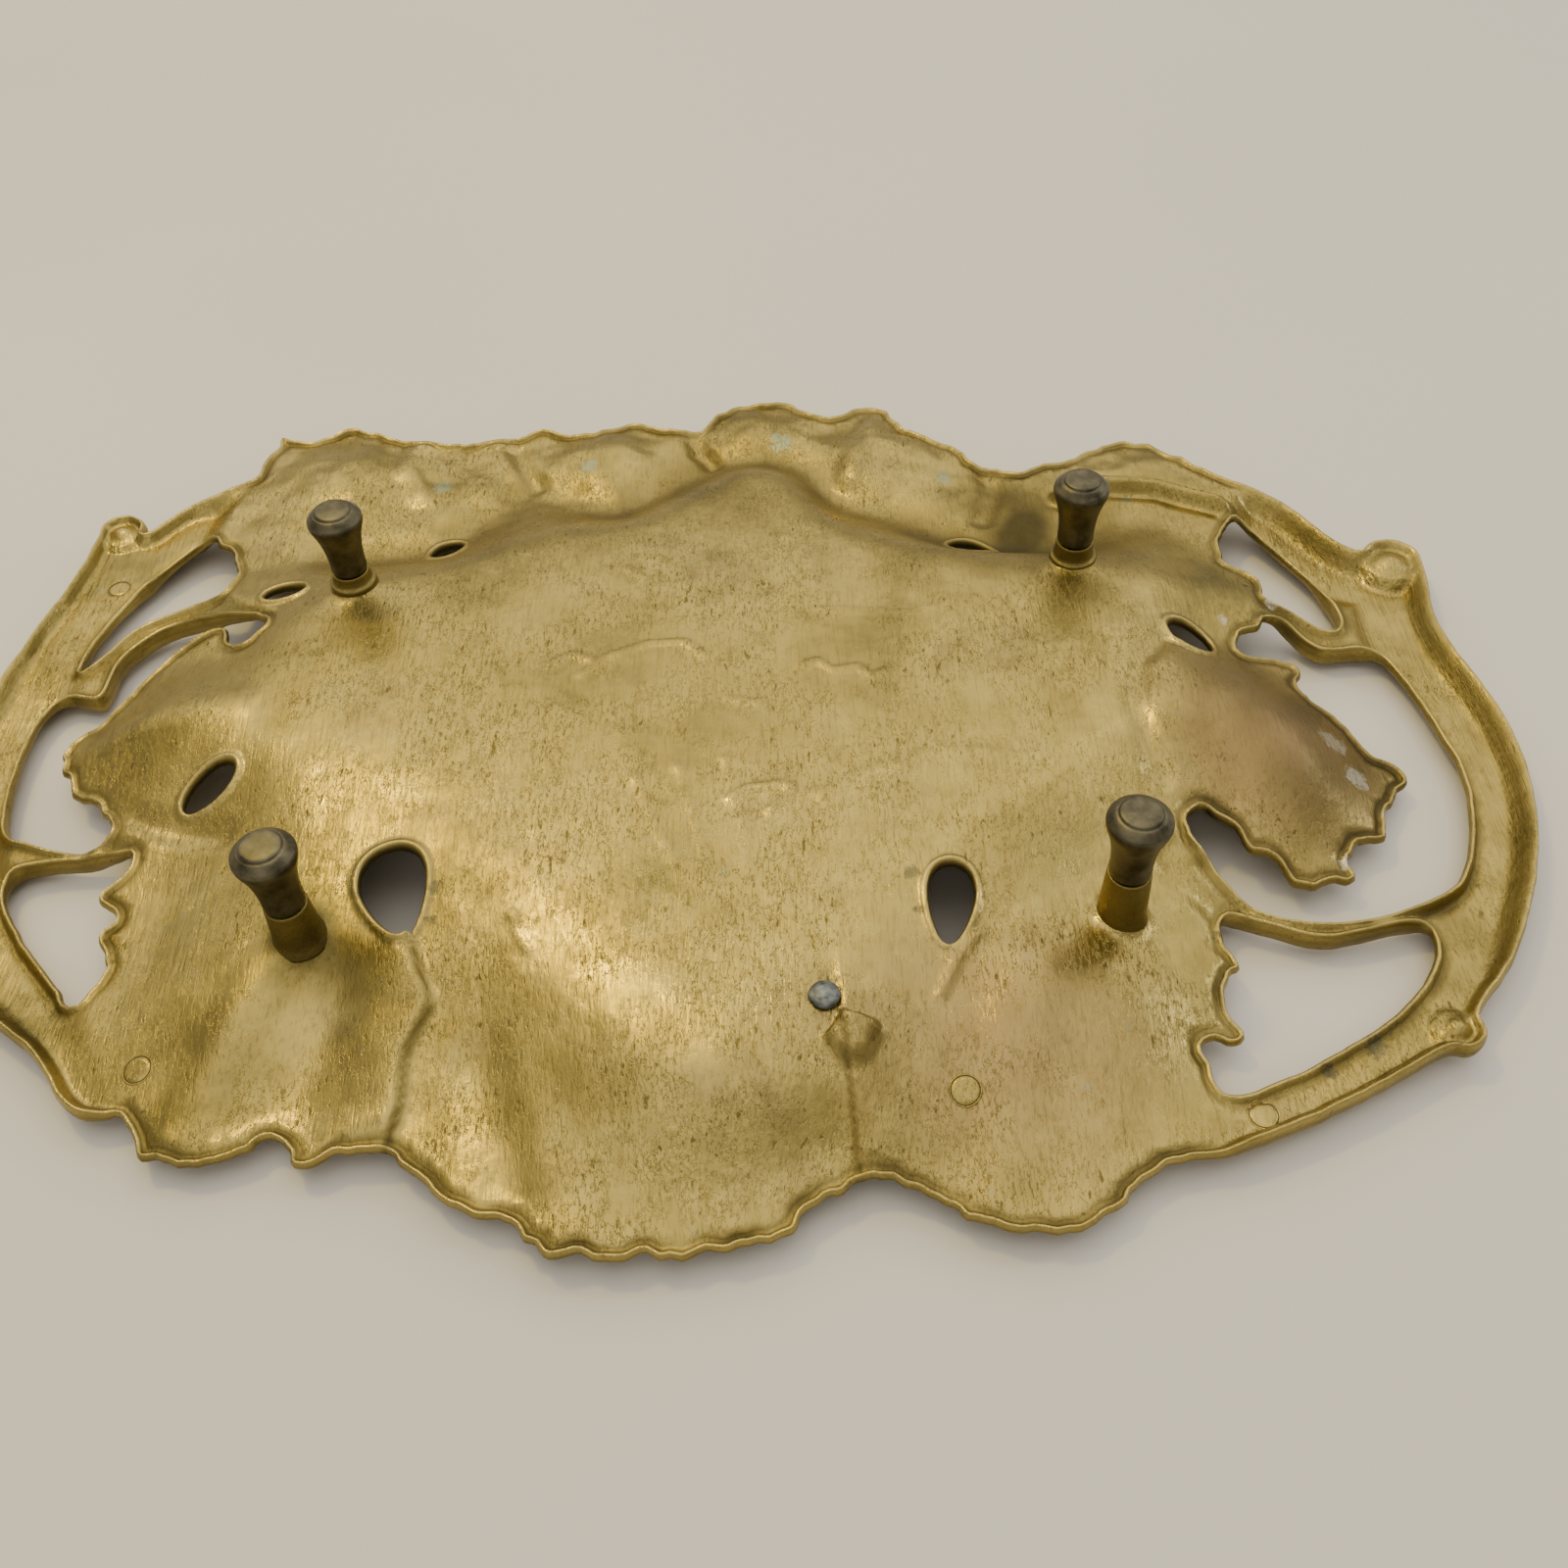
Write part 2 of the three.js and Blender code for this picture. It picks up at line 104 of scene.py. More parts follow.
def add(tree, kind, settings=None, **inputs):
    """Adds a node with its settings, and sets or links its inputs, by name or as i and a number.

    The setting "stops" is a ramp's (place, hex colour) pairs.
    """
    node = tree.nodes.new("ShaderNode" + kind)
    for key, value in (settings or {}).items():
        if key != "stops":
            setattr(node, key, value)
            continue
        elements = node.color_ramp.elements
        while len(elements) < len(value):
            elements.new(0.5)
        for element, (place, hex_colour) in zip(elements, value):
            element.position = place
            element.color = paint(hex_colour)
    for key, value in inputs.items():
        socket = node.inputs[int(key[1:]) if key[1:].isdigit() else key.replace("_", " ")]
        if isinstance(value, bpy.types.NodeSocket):
            tree.links.new(value, socket)
        else:
            socket.default_value = value
    return node


def blank_material(name, **inputs):
    """A named material with nothing but its shader, set as given, and its output."""
    material = bpy.data.materials.new(name)
    material.use_nodes = True
    tree = material.node_tree
    tree.nodes.clear()
    shader = add(tree, "BsdfPrincipled", **inputs)
    add(tree, "OutputMaterial", Surface=shader.outputs["BSDF"])
    return material, tree, shader


painted, tree, shader = blank_material("pale_painted_board", Roughness=0.7)
mottle = add(tree, "TexNoise", Scale=FLOOR_PATCHES, Detail=3.0)
tone = add(tree, "ValToRGB", {"stops": [(0.3, "#cfccc6"), (0.7, "#d8d5cf")]}, Fac=mottle.outputs["Fac"])
tree.links.new(tone.outputs["Color"], shader.inputs["Base Color"])

half_floor = FLOOR_SIZE / 2
floor_mesh = bpy.data.meshes.new("floor")
floor_mesh.from_pydata(
    [(x, y, 0) for x, y in ((-half_floor, -half_floor), (half_floor, -half_floor),
                            (half_floor, half_floor), (-half_floor, half_floor))],
    [], [(0, 1, 2, 3)],
)
floor_mesh.materials.append(painted)
floor = bpy.data.objects.new("floor", floor_mesh)
bpy.context.collection.objects.link(floor)

world = bpy.data.worlds.new("studio")
bpy.context.scene.world = world
world.use_nodes = True
world.node_tree.nodes["Background"].inputs["Color"].default_value = paint("#b9b3a6")


def panel(name, direction, distance, size, power, colour):
    """A soft rectangular light that faces the tray: distance and size in metres, power in watts."""
    light = bpy.data.lights.new(name, "AREA")
    light.shape = "RECTANGLE"
    light.size, light.size_y = size
    light.energy = power
    light.color = paint(colour)[:3]
    lamp = bpy.data.objects.new(name, light)
    away = Vector(direction).normalized()
    lamp.location = away * distance
    lamp.rotation_euler = away.to_track_quat("Z", "Y").to_euler()
    bpy.context.collection.objects.link(lamp)


panel("wall_behind", (0.0, 1.0, 0.95), 1.5, (3.4, 1.0), 14, "#fff6e6")
panel("ceiling", (0.0, 0.05, 1.0), 1.5, (2.0, 1.6), 13.5, "#fff6ea")
panel("window_overhead", (-0.35, 0.33, 0.88), 1.3, (0.15, 0.10), 4.4, "#ffdf28")
panel("right_side", (1.0, 0.25, 0.55), 1.4, (0.25, 0.6), 2.4, "#ffffff")
panel("front_fill", (-0.25, -1.0, 0.9), 1.6, (1.4, 0.7), 3, "#fff6ea")

# ---------- the casting: outlines ----------
# Leaf, stalks and branch handles are one pour of brass, about 3 mm thick in the leaf. An edge is given
# by the tip of each lobe and the notch after it, or by a few stations along a branch. A smooth curve
# joins them, and the leaf's small teeth are cut along that curve by a formula.
BACK_MARGIN = [
    (-147, 128), (-142, 148), (-134, 144), (-120, 150), (-96, 141), (-68, 142), (-58, 146), (-43, 142),
    (-26, 147), (-7, 142), (4, 153), (20, 154), (36, 146), (51, 151), (58, 140), (74, 128), (86, 116),
    (108, 118), (130, 128), (147, 115),
]
FRONT_MARGIN = [
    (100, -119), (78, -134), (58, -131), (32, -121), (12, -134), (-34, -134), (-44, -127), (-56, -123),
    (-71, -110), (-91, -112), (-97, -105), (-108, -111), (-122, -111), (-134, -100),
]
RIGHT_EDGE_UPPER = [(154, 88), (147, 69), (155, 60), (155, 52)]
RIGHT_EDGE_MIDDLE = [
    (153, 42), (144, 31), (160, 25), (158, 15), (167, 4), (170, -4), (178, -11), (170, -24), (168, -32),
    (156, -38), (157, -45), (144, -46), (132, -38), (122, -27), (117, -33),
]
RIGHT_EDGE_LOWER = [(121, -60), (124, -70), (119, -78), (120, -90), (111, -91), (113, -102)]
LEFT_EDGE_LOWER = [(-151, -67), (-146, -59), (-151, -50), (-148, -42), (-154, -37), (-147, -25)]
LEFT_EDGE_MIDDLE = [
    (-155, -19), (-160, -10), (-172, 1), (-177, 14), (-166, 25), (-158, 41), (-141, 53), (-133, 44),
    (-127, 52),
]
LEFT_EDGE_UPPER = [(-146, 72), (-143, 82), (-154, 98)]

# Where a side twig was cut off a branch: x, y and radius of the round stump.
STUMPS = {"left": (-185.5, 107, 7.5), "right": (197, 69.5, 9.2), "front": (168.5, -89, 6.4)}


def stump(name, start, end):
    """The stump's outer side, as an arc between two bearings in degrees."""
    x, y, radius = STUMPS[name]
    return [
        (x + radius * math.cos(bearing), y + radius * math.sin(bearing))
        for bearing in np.radians(np.linspace(start, end, 6))
    ]


# The branch handles' outer sides, and the sides that face the leaf.
RIGHT_BRANCH_OUTSIDE = [
    (156, 107), (172, 96), (184, 78), *stump("right", 150, -15), (203, 42), (210, 0), (205, -35),
    (188, -70), *stump("front", 25, -115), (143, -106), (111, -118),
]
LEFT_BRANCH_OUTSIDE = [
    (-144, -98), (-157, -83), (-182, -63), (-203, -32), (-209, 5), (-200, 60), (-194, 88),
    *stump("left", 200, -15), (-166, 116), (-154, 122),
]
RIGHT_BRANCH_INSIDE = {
    "upper": [(176, 46), (172, 63), (157, 87)],
    "middle": [(184, 32), (191, 6), (193, -16), (185, -42)],
    "lower": [(170, -68), (156, -84), (117, -103)],
}
LEFT_BRANCH_INSIDE = {
    "upper": [(-182, 46), (-180, 62), (-171, 83), (-159, 97)],
    "middle": [(-187, 31), (-189, 8), (-184, -14)],
    "lower": [(-179, -34), (-161, -59)],
}
# Both sides of the four stalks, from the leaf to the branch.
RIGHT_UPPER_STALK = ([(163, 48), (173, 42)], [(158, 43), (168, 34), (179, 34)])
RIGHT_LOWER_STALK = ([(120, -39), (132, -54), (153, -58), (179, -49)], [(124, -56), (145, -63), (170, -60)])
LEFT_UPPER_STALK = (
    [(-155, 70), (-169, 64), (-178, 50)],
    [(-140, 59), (-159, 62), (-170, 50), (-173, 34), (-183, 35)],
)
LEFT_LOWER_STALK = ([(-161, -22), (-177, -18)], [(-152, -25), (-178, -27)])

# The whole outside, the leaf by itself, and the six finger windows between leaf and branches.
OUTSIDE = BACK_MARGIN + RIGHT_BRANCH_OUTSIDE + FRONT_MARGIN + LEFT_BRANCH_OUTSIDE
LEAF = (
    BACK_MARGIN + [(158, 104)] + RIGHT_EDGE_UPPER + RIGHT_EDGE_MIDDLE + [(108, -41), (108, -46), (114, -52)]
    + RIGHT_EDGE_LOWER + [(109, -117)] + FRONT_MARGIN + LEFT_EDGE_LOWER + LEFT_EDGE_MIDDLE + LEFT_EDGE_UPPER
)
WINDOWS = [
    RIGHT_EDGE_UPPER + RIGHT_UPPER_STALK[0] + RIGHT_BRANCH_INSIDE["upper"],
    RIGHT_UPPER_STALK[1] + RIGHT_BRANCH_INSIDE["middle"] + RIGHT_LOWER_STALK[0][::-1]
    + RIGHT_EDGE_MIDDLE[::-1],
    RIGHT_LOWER_STALK[1] + RIGHT_BRANCH_INSIDE["lower"] + RIGHT_EDGE_LOWER[::-1],
    LEFT_EDGE_UPPER[::-1] + LEFT_UPPER_STALK[0] + LEFT_BRANCH_INSIDE["upper"],
    LEFT_UPPER_STALK[1] + LEFT_BRANCH_INSIDE["middle"] + LEFT_LOWER_STALK[0][::-1] + LEFT_EDGE_MIDDLE,
    LEFT_LOWER_STALK[1] + LEFT_BRANCH_INSIDE["lower"] + LEFT_EDGE_LOWER,
]
LEAF_EDGES = [
    BACK_MARGIN, FRONT_MARGIN, RIGHT_EDGE_UPPER, RIGHT_EDGE_MIDDLE, RIGHT_EDGE_LOWER,
    LEFT_EDGE_LOWER, LEFT_EDGE_MIDDLE, LEFT_EDGE_UPPER,
]
BRANCH_EDGES = [
    RIGHT_BRANCH_OUTSIDE, LEFT_BRANCH_OUTSIDE, *RIGHT_BRANCH_INSIDE.values(), *LEFT_BRANCH_INSIDE.values(),
    *RIGHT_UPPER_STALK, *RIGHT_LOWER_STALK, *LEFT_UPPER_STALK, *LEFT_LOWER_STALK,
]
# Gaps where two lobes overlap: x, y, half length, half width, bearing and taper. Each is an egg with its
# narrow end at the bearing, and the two large ones are drops that point to the front.
LEAF_HOLES = [
    (-75.5, -48, 12.5, 7.4, -75, 0.4), (56.5, -58, 10.5, 5, -98, 0.35), (129, 29.5, 6.5, 4.5, -40, 0),
    (-129.5, -9.5, 8, 4.2, -137, 0.1), (-124, 64.5, 6, 3, 5, 0), (-81, 87.5, 5, 3.5, 30, 0),
    (75, 77, 7, 4, -35, 0),
]
EGG_POINTS = 16


def egg(x, y, half_length, half_width, bearing, taper):
    """Points round an egg-shaped hole."""
    heading = math.radians(bearing)
    points = []
    for angle in np.linspace(0, math.tau, EGG_POINTS, endpoint=False):
        along = half_length * math.cos(angle)
        across = half_width * math.sin(angle) * (1 - taper * math.cos(angle))
        points.append((
            x + along * math.cos(heading) - across * math.sin(heading),
            y + along * math.sin(heading) + across * math.cos(heading),
        ))
    return points


CURVE_CUTS = 8


def smooth_loop(points, spacing):
    """A closed curve through the points (centripetal Catmull-Rom), cut to even steps in millimetres."""
    points = np.array(points, dtype=float)
    curve = []
    count = len(points)
    for i in range(count):
        p = [points[(i + k) % count] for k in (-1, 0, 1, 2)]
        knots = [0.0]
        for a, b in zip(p, p[1:]):
            knots.append(knots[-1] + math.sqrt(math.dist(a, b)))
        for t in np.linspace(knots[1], knots[2], CURVE_CUTS, endpoint=False):
            near = [
                ((knots[k + 1] - t) * p[k] + (t - knots[k]) * p[k + 1]) / (knots[k + 1] - knots[k])
                for k in range(3)
            ]
            mid = [
                ((knots[k + 2] - t) * near[k] + (t - knots[k]) * near[k + 1]) / (knots[k + 2] - knots[k])
                for k in range(2)
            ]
            curve.append(((knots[2] - t) * mid[0] + (t - knots[1]) * mid[1]) / (knots[2] - knots[1]))
    curve = np.array(curve + curve[:1])
    run = np.concatenate([[0], np.cumsum(np.hypot(*np.diff(curve, axis=0).T))])
    places = np.linspace(0, run[-1], max(8, round(run[-1] / spacing)), endpoint=False)
    return np.column_stack([np.interp(places, run, curve[:, k]) for k in (0, 1)])


class Edges:
    """A set of closed outlines: how far spots are from them, and which spots lie within them."""

    def __init__(self, loops):
        self.starts = np.vstack(loops)
        self.ends = np.vstack([np.roll(loop, -1, axis=0) for loop in loops])
        sizes = [len(loop) for loop in loops]
        firsts = np.cumsum([0, *sizes[:-1]])
        self.before = np.concatenate([
            first + np.roll(np.arange(size), 1) for first, size in zip(firsts, sizes)
        ])
        self.tree = kdtree.KDTree(len(self.starts))
        for k, (x, y) in enumerate(self.starts):
            self.tree.insert((x, y, 0), k)
        self.tree.balance()

    def distance(self, spots):
        """Distance to the nearest outline, from the two segments that meet at its nearest point."""
        nearest = np.array([self.tree.find((x, y, 0))[1] for x, y in spots])
        best = np.full(len(spots), np.inf)
        for segment in (nearest, self.before[nearest]):
            run = self.ends[segment] - self.starts[segment]
            gap = spots - self.starts[segment]
            along = np.clip((gap * run).sum(axis=1) / np.maximum((run ** 2).sum(axis=1), 1e-9), 0, 1)
            best = np.minimum(best, np.hypot(*(gap - along[:, None] * run).T))
        return best

    def within(self, spots):
        """Whether each spot is inside, by counting the edges to one side of it, a band of rows at a time."""
        inside = np.zeros(len(spots), dtype=bool)
        (ax, ay), (bx, by) = self.starts.T, self.ends.T
        slope = (bx - ax) / np.where(by == ay, 1e-9, by - ay)
        for rows in np.array_split(np.argsort(spots[:, 1]), max(1, len(spots) // 800)):
            x, y = spots[rows, :1], spots[rows, 1:]
            near = (np.minimum(ay, by) <= y.max()) & (np.maximum(ay, by) >= y.min())
            crossed = ((ay[near] > y) != (by[near] > y)) & (x < ax[near] + (y - ay[near]) * slope[near])
            inside[rows] = crossed.sum(axis=1) % 2 == 1
        return inside

    def depth(self, spots):
        """Distance inwards from the nearest outline, negative outside."""
        return np.where(self.within(spots), 1, -1) * self.distance(spots)


def ease(value, low, high):
    """0 below low and 1 above high, with a smooth turn at both."""
    t = np.clip((value - low) / (high - low), 0, 1)
    return t * t * (3 - 2 * t)


def line_field(spots, points):
    """Distance to an open line, and which side of it each spot is on (+1 is left)."""
    points = np.array(points, dtype=float)
    best = np.full(len(spots), np.inf)
    side = np.zeros(len(spots))
    for a, b in zip(points, points[1:]):
        run = b - a
        gap = spots - a
        along = np.clip(gap @ run / (run @ run), 0, 1)
        off = np.hypot(*(gap - along[:, None] * run).T)
        near = off < best
        best[near] = off[near]
        side[near] = np.sign(run[0] * gap[near, 1] - run[1] * gap[near, 0])
    return best, side


def ripple(spots, size, seed, stretch=1.0):
    """Smooth noise of about -1 to 1 whose bumps are size millimetres across."""
    return np.array([
        noise.noise(Vector((x / size, y / (size * stretch), seed))) for x, y in spots
    ])


def inset(loop, distance, inwards):
    """The loop's points moved off it by one distance or one each, to its inner or its outer side."""
    ahead = np.roll(loop, -1, axis=0) - np.roll(loop, 1, axis=0)
    ahead /= np.hypot(*ahead.T)[:, None]
    normal = np.column_stack([-ahead[:, 1], ahead[:, 0]])
    area = (loop[:, 0] * np.roll(loop[:, 1], -1) - np.roll(loop[:, 0], -1) * loop[:, 1]).sum()
    turn = 1 if area > 0 else -1
    return loop + normal * distance * turn * (1 if inwards else -1)


TOOTH_MM = 6.5
TOOTH_DEPTH = 1.7
BRANCH_WAVER = 0.3


def toothed(loop):
    """The loop with small teeth cut along its leafy stretches; the branches are nearly smooth."""
    to_leaf, to_branch = (
        np.min([line_field(loop, edge)[0] for edge in edges], axis=0)
        for edges in (LEAF_EDGES, BRANCH_EDGES)
    )
    depth = BRANCH_WAVER + TOOTH_DEPTH * ease(to_branch - to_leaf, 0, 5)
    cut = ripple(loop, TOOTH_MM, 8.3) + 0.5 * ripple(loop, TOOTH_MM / 2, 3.3)
    return inset(loop, (depth * cut)[:, None], True)


RING_STEP = 1.25
HOLE_STEP = 0.9
outside_loop = toothed(smooth_loop(OUTSIDE, RING_STEP))
window_loops = [toothed(smooth_loop(window, RING_STEP)) for window in WINDOWS]
hole_loops = [smooth_loop(egg(*hole), HOLE_STEP) for hole in LEAF_HOLES]
outer_edge = Edges([outside_loop])
window_edge = Edges(window_loops)
hole_edge = Edges(hole_loops)
leaf_edge = Edges([smooth_loop(LEAF, 1.6)])
every_edge = Edges([outside_loop, *window_loops, *hole_loops])

# ---------- the casting: relief of the leaf ----------
# The underside mirrors the dish: a flat middle that runs out in tongues along the veins, a steep fall
# to the ruffled margin behind, a long soft fall in front, and a swelling for each lobe.
SHEET = 2.6
EDGE_SHEET = 1.9
FLAT_Z = 25.0
FLAT_FALL = 0.03
BACK_TILT = 5.5
FRONT_RIM_Z = 7.0
BACK_RIM_RISE = 5.5
STEEP_FALL_REACH = 33
FLAT_OUTLINE = [
    (12, 108), (-5, 96), (-18, 84), (-48, 76), (-77, 63), (-112, 52), (-118, 34), (-100, 0), (-60, -20),
    (-28, -56), (2, -94), (14, -96), (32, -60), (62, -34), (98, -12), (116, 38), (85, 52), (50, 65),
    (28, 82), (20, 102),
]
flat_edge = Edges([smooth_loop(FLAT_OUTLINE, 2.0)])

# Where a stalk or a fold lifts the margin: (x, y, reach, height).
MARGIN_LIFTS = [
    (114, -36, 30, 9), (-131, 52, 30, 7), (-149, -18, 20, 4), (150, 46, 22, 3), (178, -12, 30, -2),
]
# Swellings of single lobes: (x, y, reach, height).
LOBE_SWELLS = [
    (140, -6, 44, 9.0), (150, -22, 26, 3.0), (-150, 12, 36, 6.0), (-112, -68, 38, 5.0), (92, -84, 42, 5.0),
    (-118, 120, 28, 5.0), (-36, 128, 22, 4.5), (14, 140, 20, 3.0), (50, 122, 26, 4.0), (116, 104, 24, 2.5),
    (128, 64, 30, 3.5), (-130, 88, 26, 2.5),
]


def hump(value):
    """1 at 0, falling smoothly to 0 at 1 and beyond."""
    return np.clip(1 - value ** 2, 0, 1) ** 2


# The foot of the steep fall behind the flat.
VALLEY = [
    (-112, 84), (-82, 88), (-60, 114), (-44, 106), (-30, 103), (-18, 111), (1, 126), (15, 126), (28, 119),
    (36, 102), (50, 98), (74, 79), (104, 74),
]
BRANCH_TAIL = [(104, 100), (116, 103), (134, 102), (152, 93), (164, 80)]
# Round-backed ridges and grooves: (points, half width, height). After the valley come the right-hand
# branch's tail, which stands in a hollow on the leaf, a short rail at the back, and veins and folds.
RIDGES = [
    (VALLEY, 13, -1.6),
    (BRANCH_TAIL, 8.0, -1.8),
    (BRANCH_TAIL, 3.8, 5.4),
    ([(-95, 139), (-66, 139)], 3.0, 1.6),
    ([(28, 41), (45, 39), (54, 38), (65, 42)], 1.6, 0.3),
    ([(28, -26), (38, -20), (45, -17), (57, -13), (70, -14)], 3.4, 0.35),
    ([(-67, 141), (-62, 128), (-56, 118)], 5, -1.8),
    ([(-8, 142), (-6, 132), (-2, 126)], 5, -3.0),
    ([(54, 146), (47, 132), (40, 112)], 6, 1.4),
    ([(-96, 141), (-98, 126), (-92, 112)], 6, 1.6),
    ([(84, 116), (84, 104), (80, 92)], 6, -2.4),
    ([(-121, -110), (-112, -86), (-104, -66)], 9, 1.0),
    ([(-97, -105), (-93, -88), (-90, -72)], 15, -1.6),
    ([(60, -130), (66, -100), (74, -74)], 13, 0.9),
    ([(-42, -128), (-46, -110), (-52, -92)], 10, -0.9),
    ([(112, -20), (109, 0), (112, 16), (121, 26)], 5, -1.3),
    ([(-165, 10), (-148, 14), (-128, 16)], 10, 0.8),
    ([(-160, -10), (-142, -18), (-124, -24)], 6, -1.2),
]
# One lobe lapped over the next: (points, rise on the left-hand side, how far the lap reaches).
LAPS = [
    ([(-72, -112), (-69, -100), (-69, -88), (-64, -77), (-70, -62)], 2.8, 14),
    ([(30, -90), (31, -104), (32, -122)], 1.8, 14),
]
# Flakes, runs and drips left by the mould on the flat: (points, half width, height).
MOULD_MARKS = [
    ([(-29, 25), (-17, 30), (-7, 30), (-2, 24)], 1.5, 0.5),
    ([(-44, 23), (-37, 27), (-30, 23), (-35, 19)], 1.6, 0.5),
    ([(5, -26), (9, -23), (18, -22), (21, -24), (15, -30)], 2.0, 0.7),
    ([(24, 19), (28, 21), (32, 17), (39, 18), (42, 14), (46, 16)], 1.5, 0.6),
    ([(-19, -18), (-13, -34), (-8, -45)], 1.2, 0.22),
    ([(-8, -15), (-4, -30), (-1, -43)], 1.2, 0.22),
    ([(4, -13), (7, -28), (9, -40)], 1.2, 0.22),
    ([(-46, -57), (-44, -64), (-41, -67)], 1.2, 0.4),
    ([(113, -9), (112, -17), (110, -25)], 1.0, 0.4),
    ([(62, -66), (57, -72), (52, -82)], 1.8, 0.9),
    ([(-24, 62), (-20, 57)], 1.4, 0.5),
    ([(3, 20), (4, 8), (12, 6)], 1.4, 0.4),
]
MOULD_DROPS = [(-19, -18), (-8, -15), (4, -13), (-46, -57)]
DROP_RADIUS = 2.6
DROP_HEIGHT = 0.35
# The sand mould's own unevenness everywhere: (height, size, seed).
SAND_UNEVENNESS = [(0.22, 34, 7.9), (0.08, 9, 4.2), (0.035, 3.2, 2.2)]
# A flat-topped scrap of metal left beside the rivet.
STUB = [(30, -88), (38, -90), (35, -97), (30, -98), (26, -93)]
stub_edge = Edges([np.array(STUB, dtype=float)])


def margin_level(spots):
    """Height of the leaf's rim, and of the stalks, before the branch takes over."""
    x, y = spots.T
    level = FRONT_RIM_Z + BACK_RIM_RISE * ease(y, -110, 110) - 1.5 * ease(np.abs(x), 150, 180)
    for cx, cy, reach, height in MARGIN_LIFTS:
        level = level + height * hump(np.hypot(x - cx, y - cy) / reach)
    return level


def leaf_form(spots):
    """The leaf's outer face as a plain shape: flat, fall and lobes, before it is softened."""
    x, y = spots.T
    to_rim = np.maximum(leaf_edge.depth(spots), 0)
    to_flat = np.maximum(-flat_edge.depth(spots), 0)
    rim = margin_level(spots)
    top = FLAT_Z + FLAT_FALL * np.minimum(0, y) - BACK_TILT * ease(y, 38, 125) ** 1.3
    to_valley, _ = line_field(spots, VALLEY)
    span = to_rim + to_flat
    steep = np.minimum(np.minimum(span, STEEP_FALL_REACH), to_flat + to_valley)
    behind = behind_flat(spots)
    reach = span * (1 - behind) + steep * behind
    share = np.clip(to_flat / np.maximum(reach, 1e-6), 0, 1)
    level = rim + (top - rim) * (1 - ease(share, 0, 1))
    free = np.minimum(1, to_rim / 12) * ease(to_flat, 0, 12)
    for cx, cy, radius, height in LOBE_SWELLS:
        level = level + height * free * hump(np.hypot(x - cx, y - cy) / radius)
    return level


def behind_flat(spots):
    """1 behind the flat, where the fall is short and steep, and 0 in front of it."""
    x, y = spots.T
    return ease(y - 0.25 * np.abs(x), 20, 60)


# The plain shape is taken on a grid and softened, so that no crease is left where two lobes' falls meet.
FORM_STEP = 2.5
form_x = np.arange(-217.5, 220, FORM_STEP)
form_y = np.arange(-145, 165, FORM_STEP)
form_spots = np.column_stack([axis.ravel() for axis in np.meshgrid(form_x, form_y)])
plain_form = leaf_form(form_spots).reshape(len(form_y), len(form_x))


def softened(grid, radius):
    """The grid blurred over a radius in millimetres."""
    reach = np.arange(-3 * radius, 3 * radius + FORM_STEP, FORM_STEP)
    weight = np.exp(-0.5 * (reach / radius) ** 2)
    weight /= weight.sum()
    pad = len(reach) // 2
    for axis in (0, 1):
        wide = np.pad(grid, [(pad, pad) if k == axis else (0, 0) for k in (0, 1)], mode="edge")
        grid = np.apply_along_axis(lambda row: np.convolve(row, weight, mode="same"), axis, wide)
        grid = grid[pad:-pad] if axis == 0 else grid[:, pad:-pad]
    return grid


SOFT_MM = 6.5
CRISP_MM = 3.6
crispness = behind_flat(form_spots).reshape(plain_form.shape)
form = softened(plain_form, CRISP_MM) * crispness + softened(plain_form, SOFT_MM) * (1 - crispness)


def form_at(spots):
    """The softened shape at any spot, from the grid."""
    u = np.clip((spots[:, 0] - form_x[0]) / FORM_STEP, 0, len(form_x) - 1.001)
    v = np.clip((spots[:, 1] - form_y[0]) / FORM_STEP, 0, len(form_y) - 1.001)
    i, j = u.astype(int), v.astype(int)
    s, t = ease(u - i, 0, 1) * 0.35 + (u - i) * 0.65, ease(v - j, 0, 1) * 0.35 + (v - j) * 0.65
    front = form[j, i] * (1 - s) + form[j, i + 1] * s
    back = form[j + 1, i] * (1 - s) + form[j + 1, i + 1] * s
    return front * (1 - t) + back * t


def leaf_level(spots):
    """Height of the leaf's outer face, without its margin bead."""
    to_rim = np.maximum(leaf_edge.depth(spots), 0)
    to_flat = np.maximum(-flat_edge.depth(spots), 0)
    off_flat = ease(to_flat, 0, 12)
    level = form_at(spots)
    for points, width, height in RIDGES:
        off, _ = line_field(spots, points)
        level = level + height * hump(off / width) * np.minimum(1, 0.3 + to_rim / 8)
    for points, rise, width in LAPS:
        off, side = line_field(spots, points)
        lap = ease(side * off, -1.6, 1.6)
        level = level + rise * lap * np.exp(-(off / width) ** 2) * np.minimum(1, 0.4 + to_rim / 10)
    ruffle = ease(spots[:, 1], 88, 112) * ease(to_flat, 18, 30)
    level = level + ruffle * (1.0 * ripple(spots, 12, 3.1) + 0.35 * ripple(spots, 5, 9.4))
    level = level + off_flat * (1 - ruffle) * 0.7 * ripple(spots, 24, 5.5)
    level = level + off_flat * 0.16 * ripple(spots, 8, 1.7, 1.8)
    for height, size, seed in SAND_UNEVENNESS:
        level = level + height * ripple(spots, size, seed)
    return level


def small_relief(spots):
    """Marks of the mould and of later repair that stand on the smooth surface."""
    x, y = spots.T
    level = np.zeros(len(spots))
    for points, width, height in MOULD_MARKS:
        off, _ = line_field(spots, points)
        level = level + height * hump(off / width)
    for cx, cy in MOULD_DROPS:
        level = level + DROP_HEIGHT * hump(np.hypot(x - cx, y - cy) / DROP_RADIUS)
    level = level + (3.4 + 0.12 * (y + 92)) * ease(stub_edge.depth(spots), -0.7, 0.5)
    return level


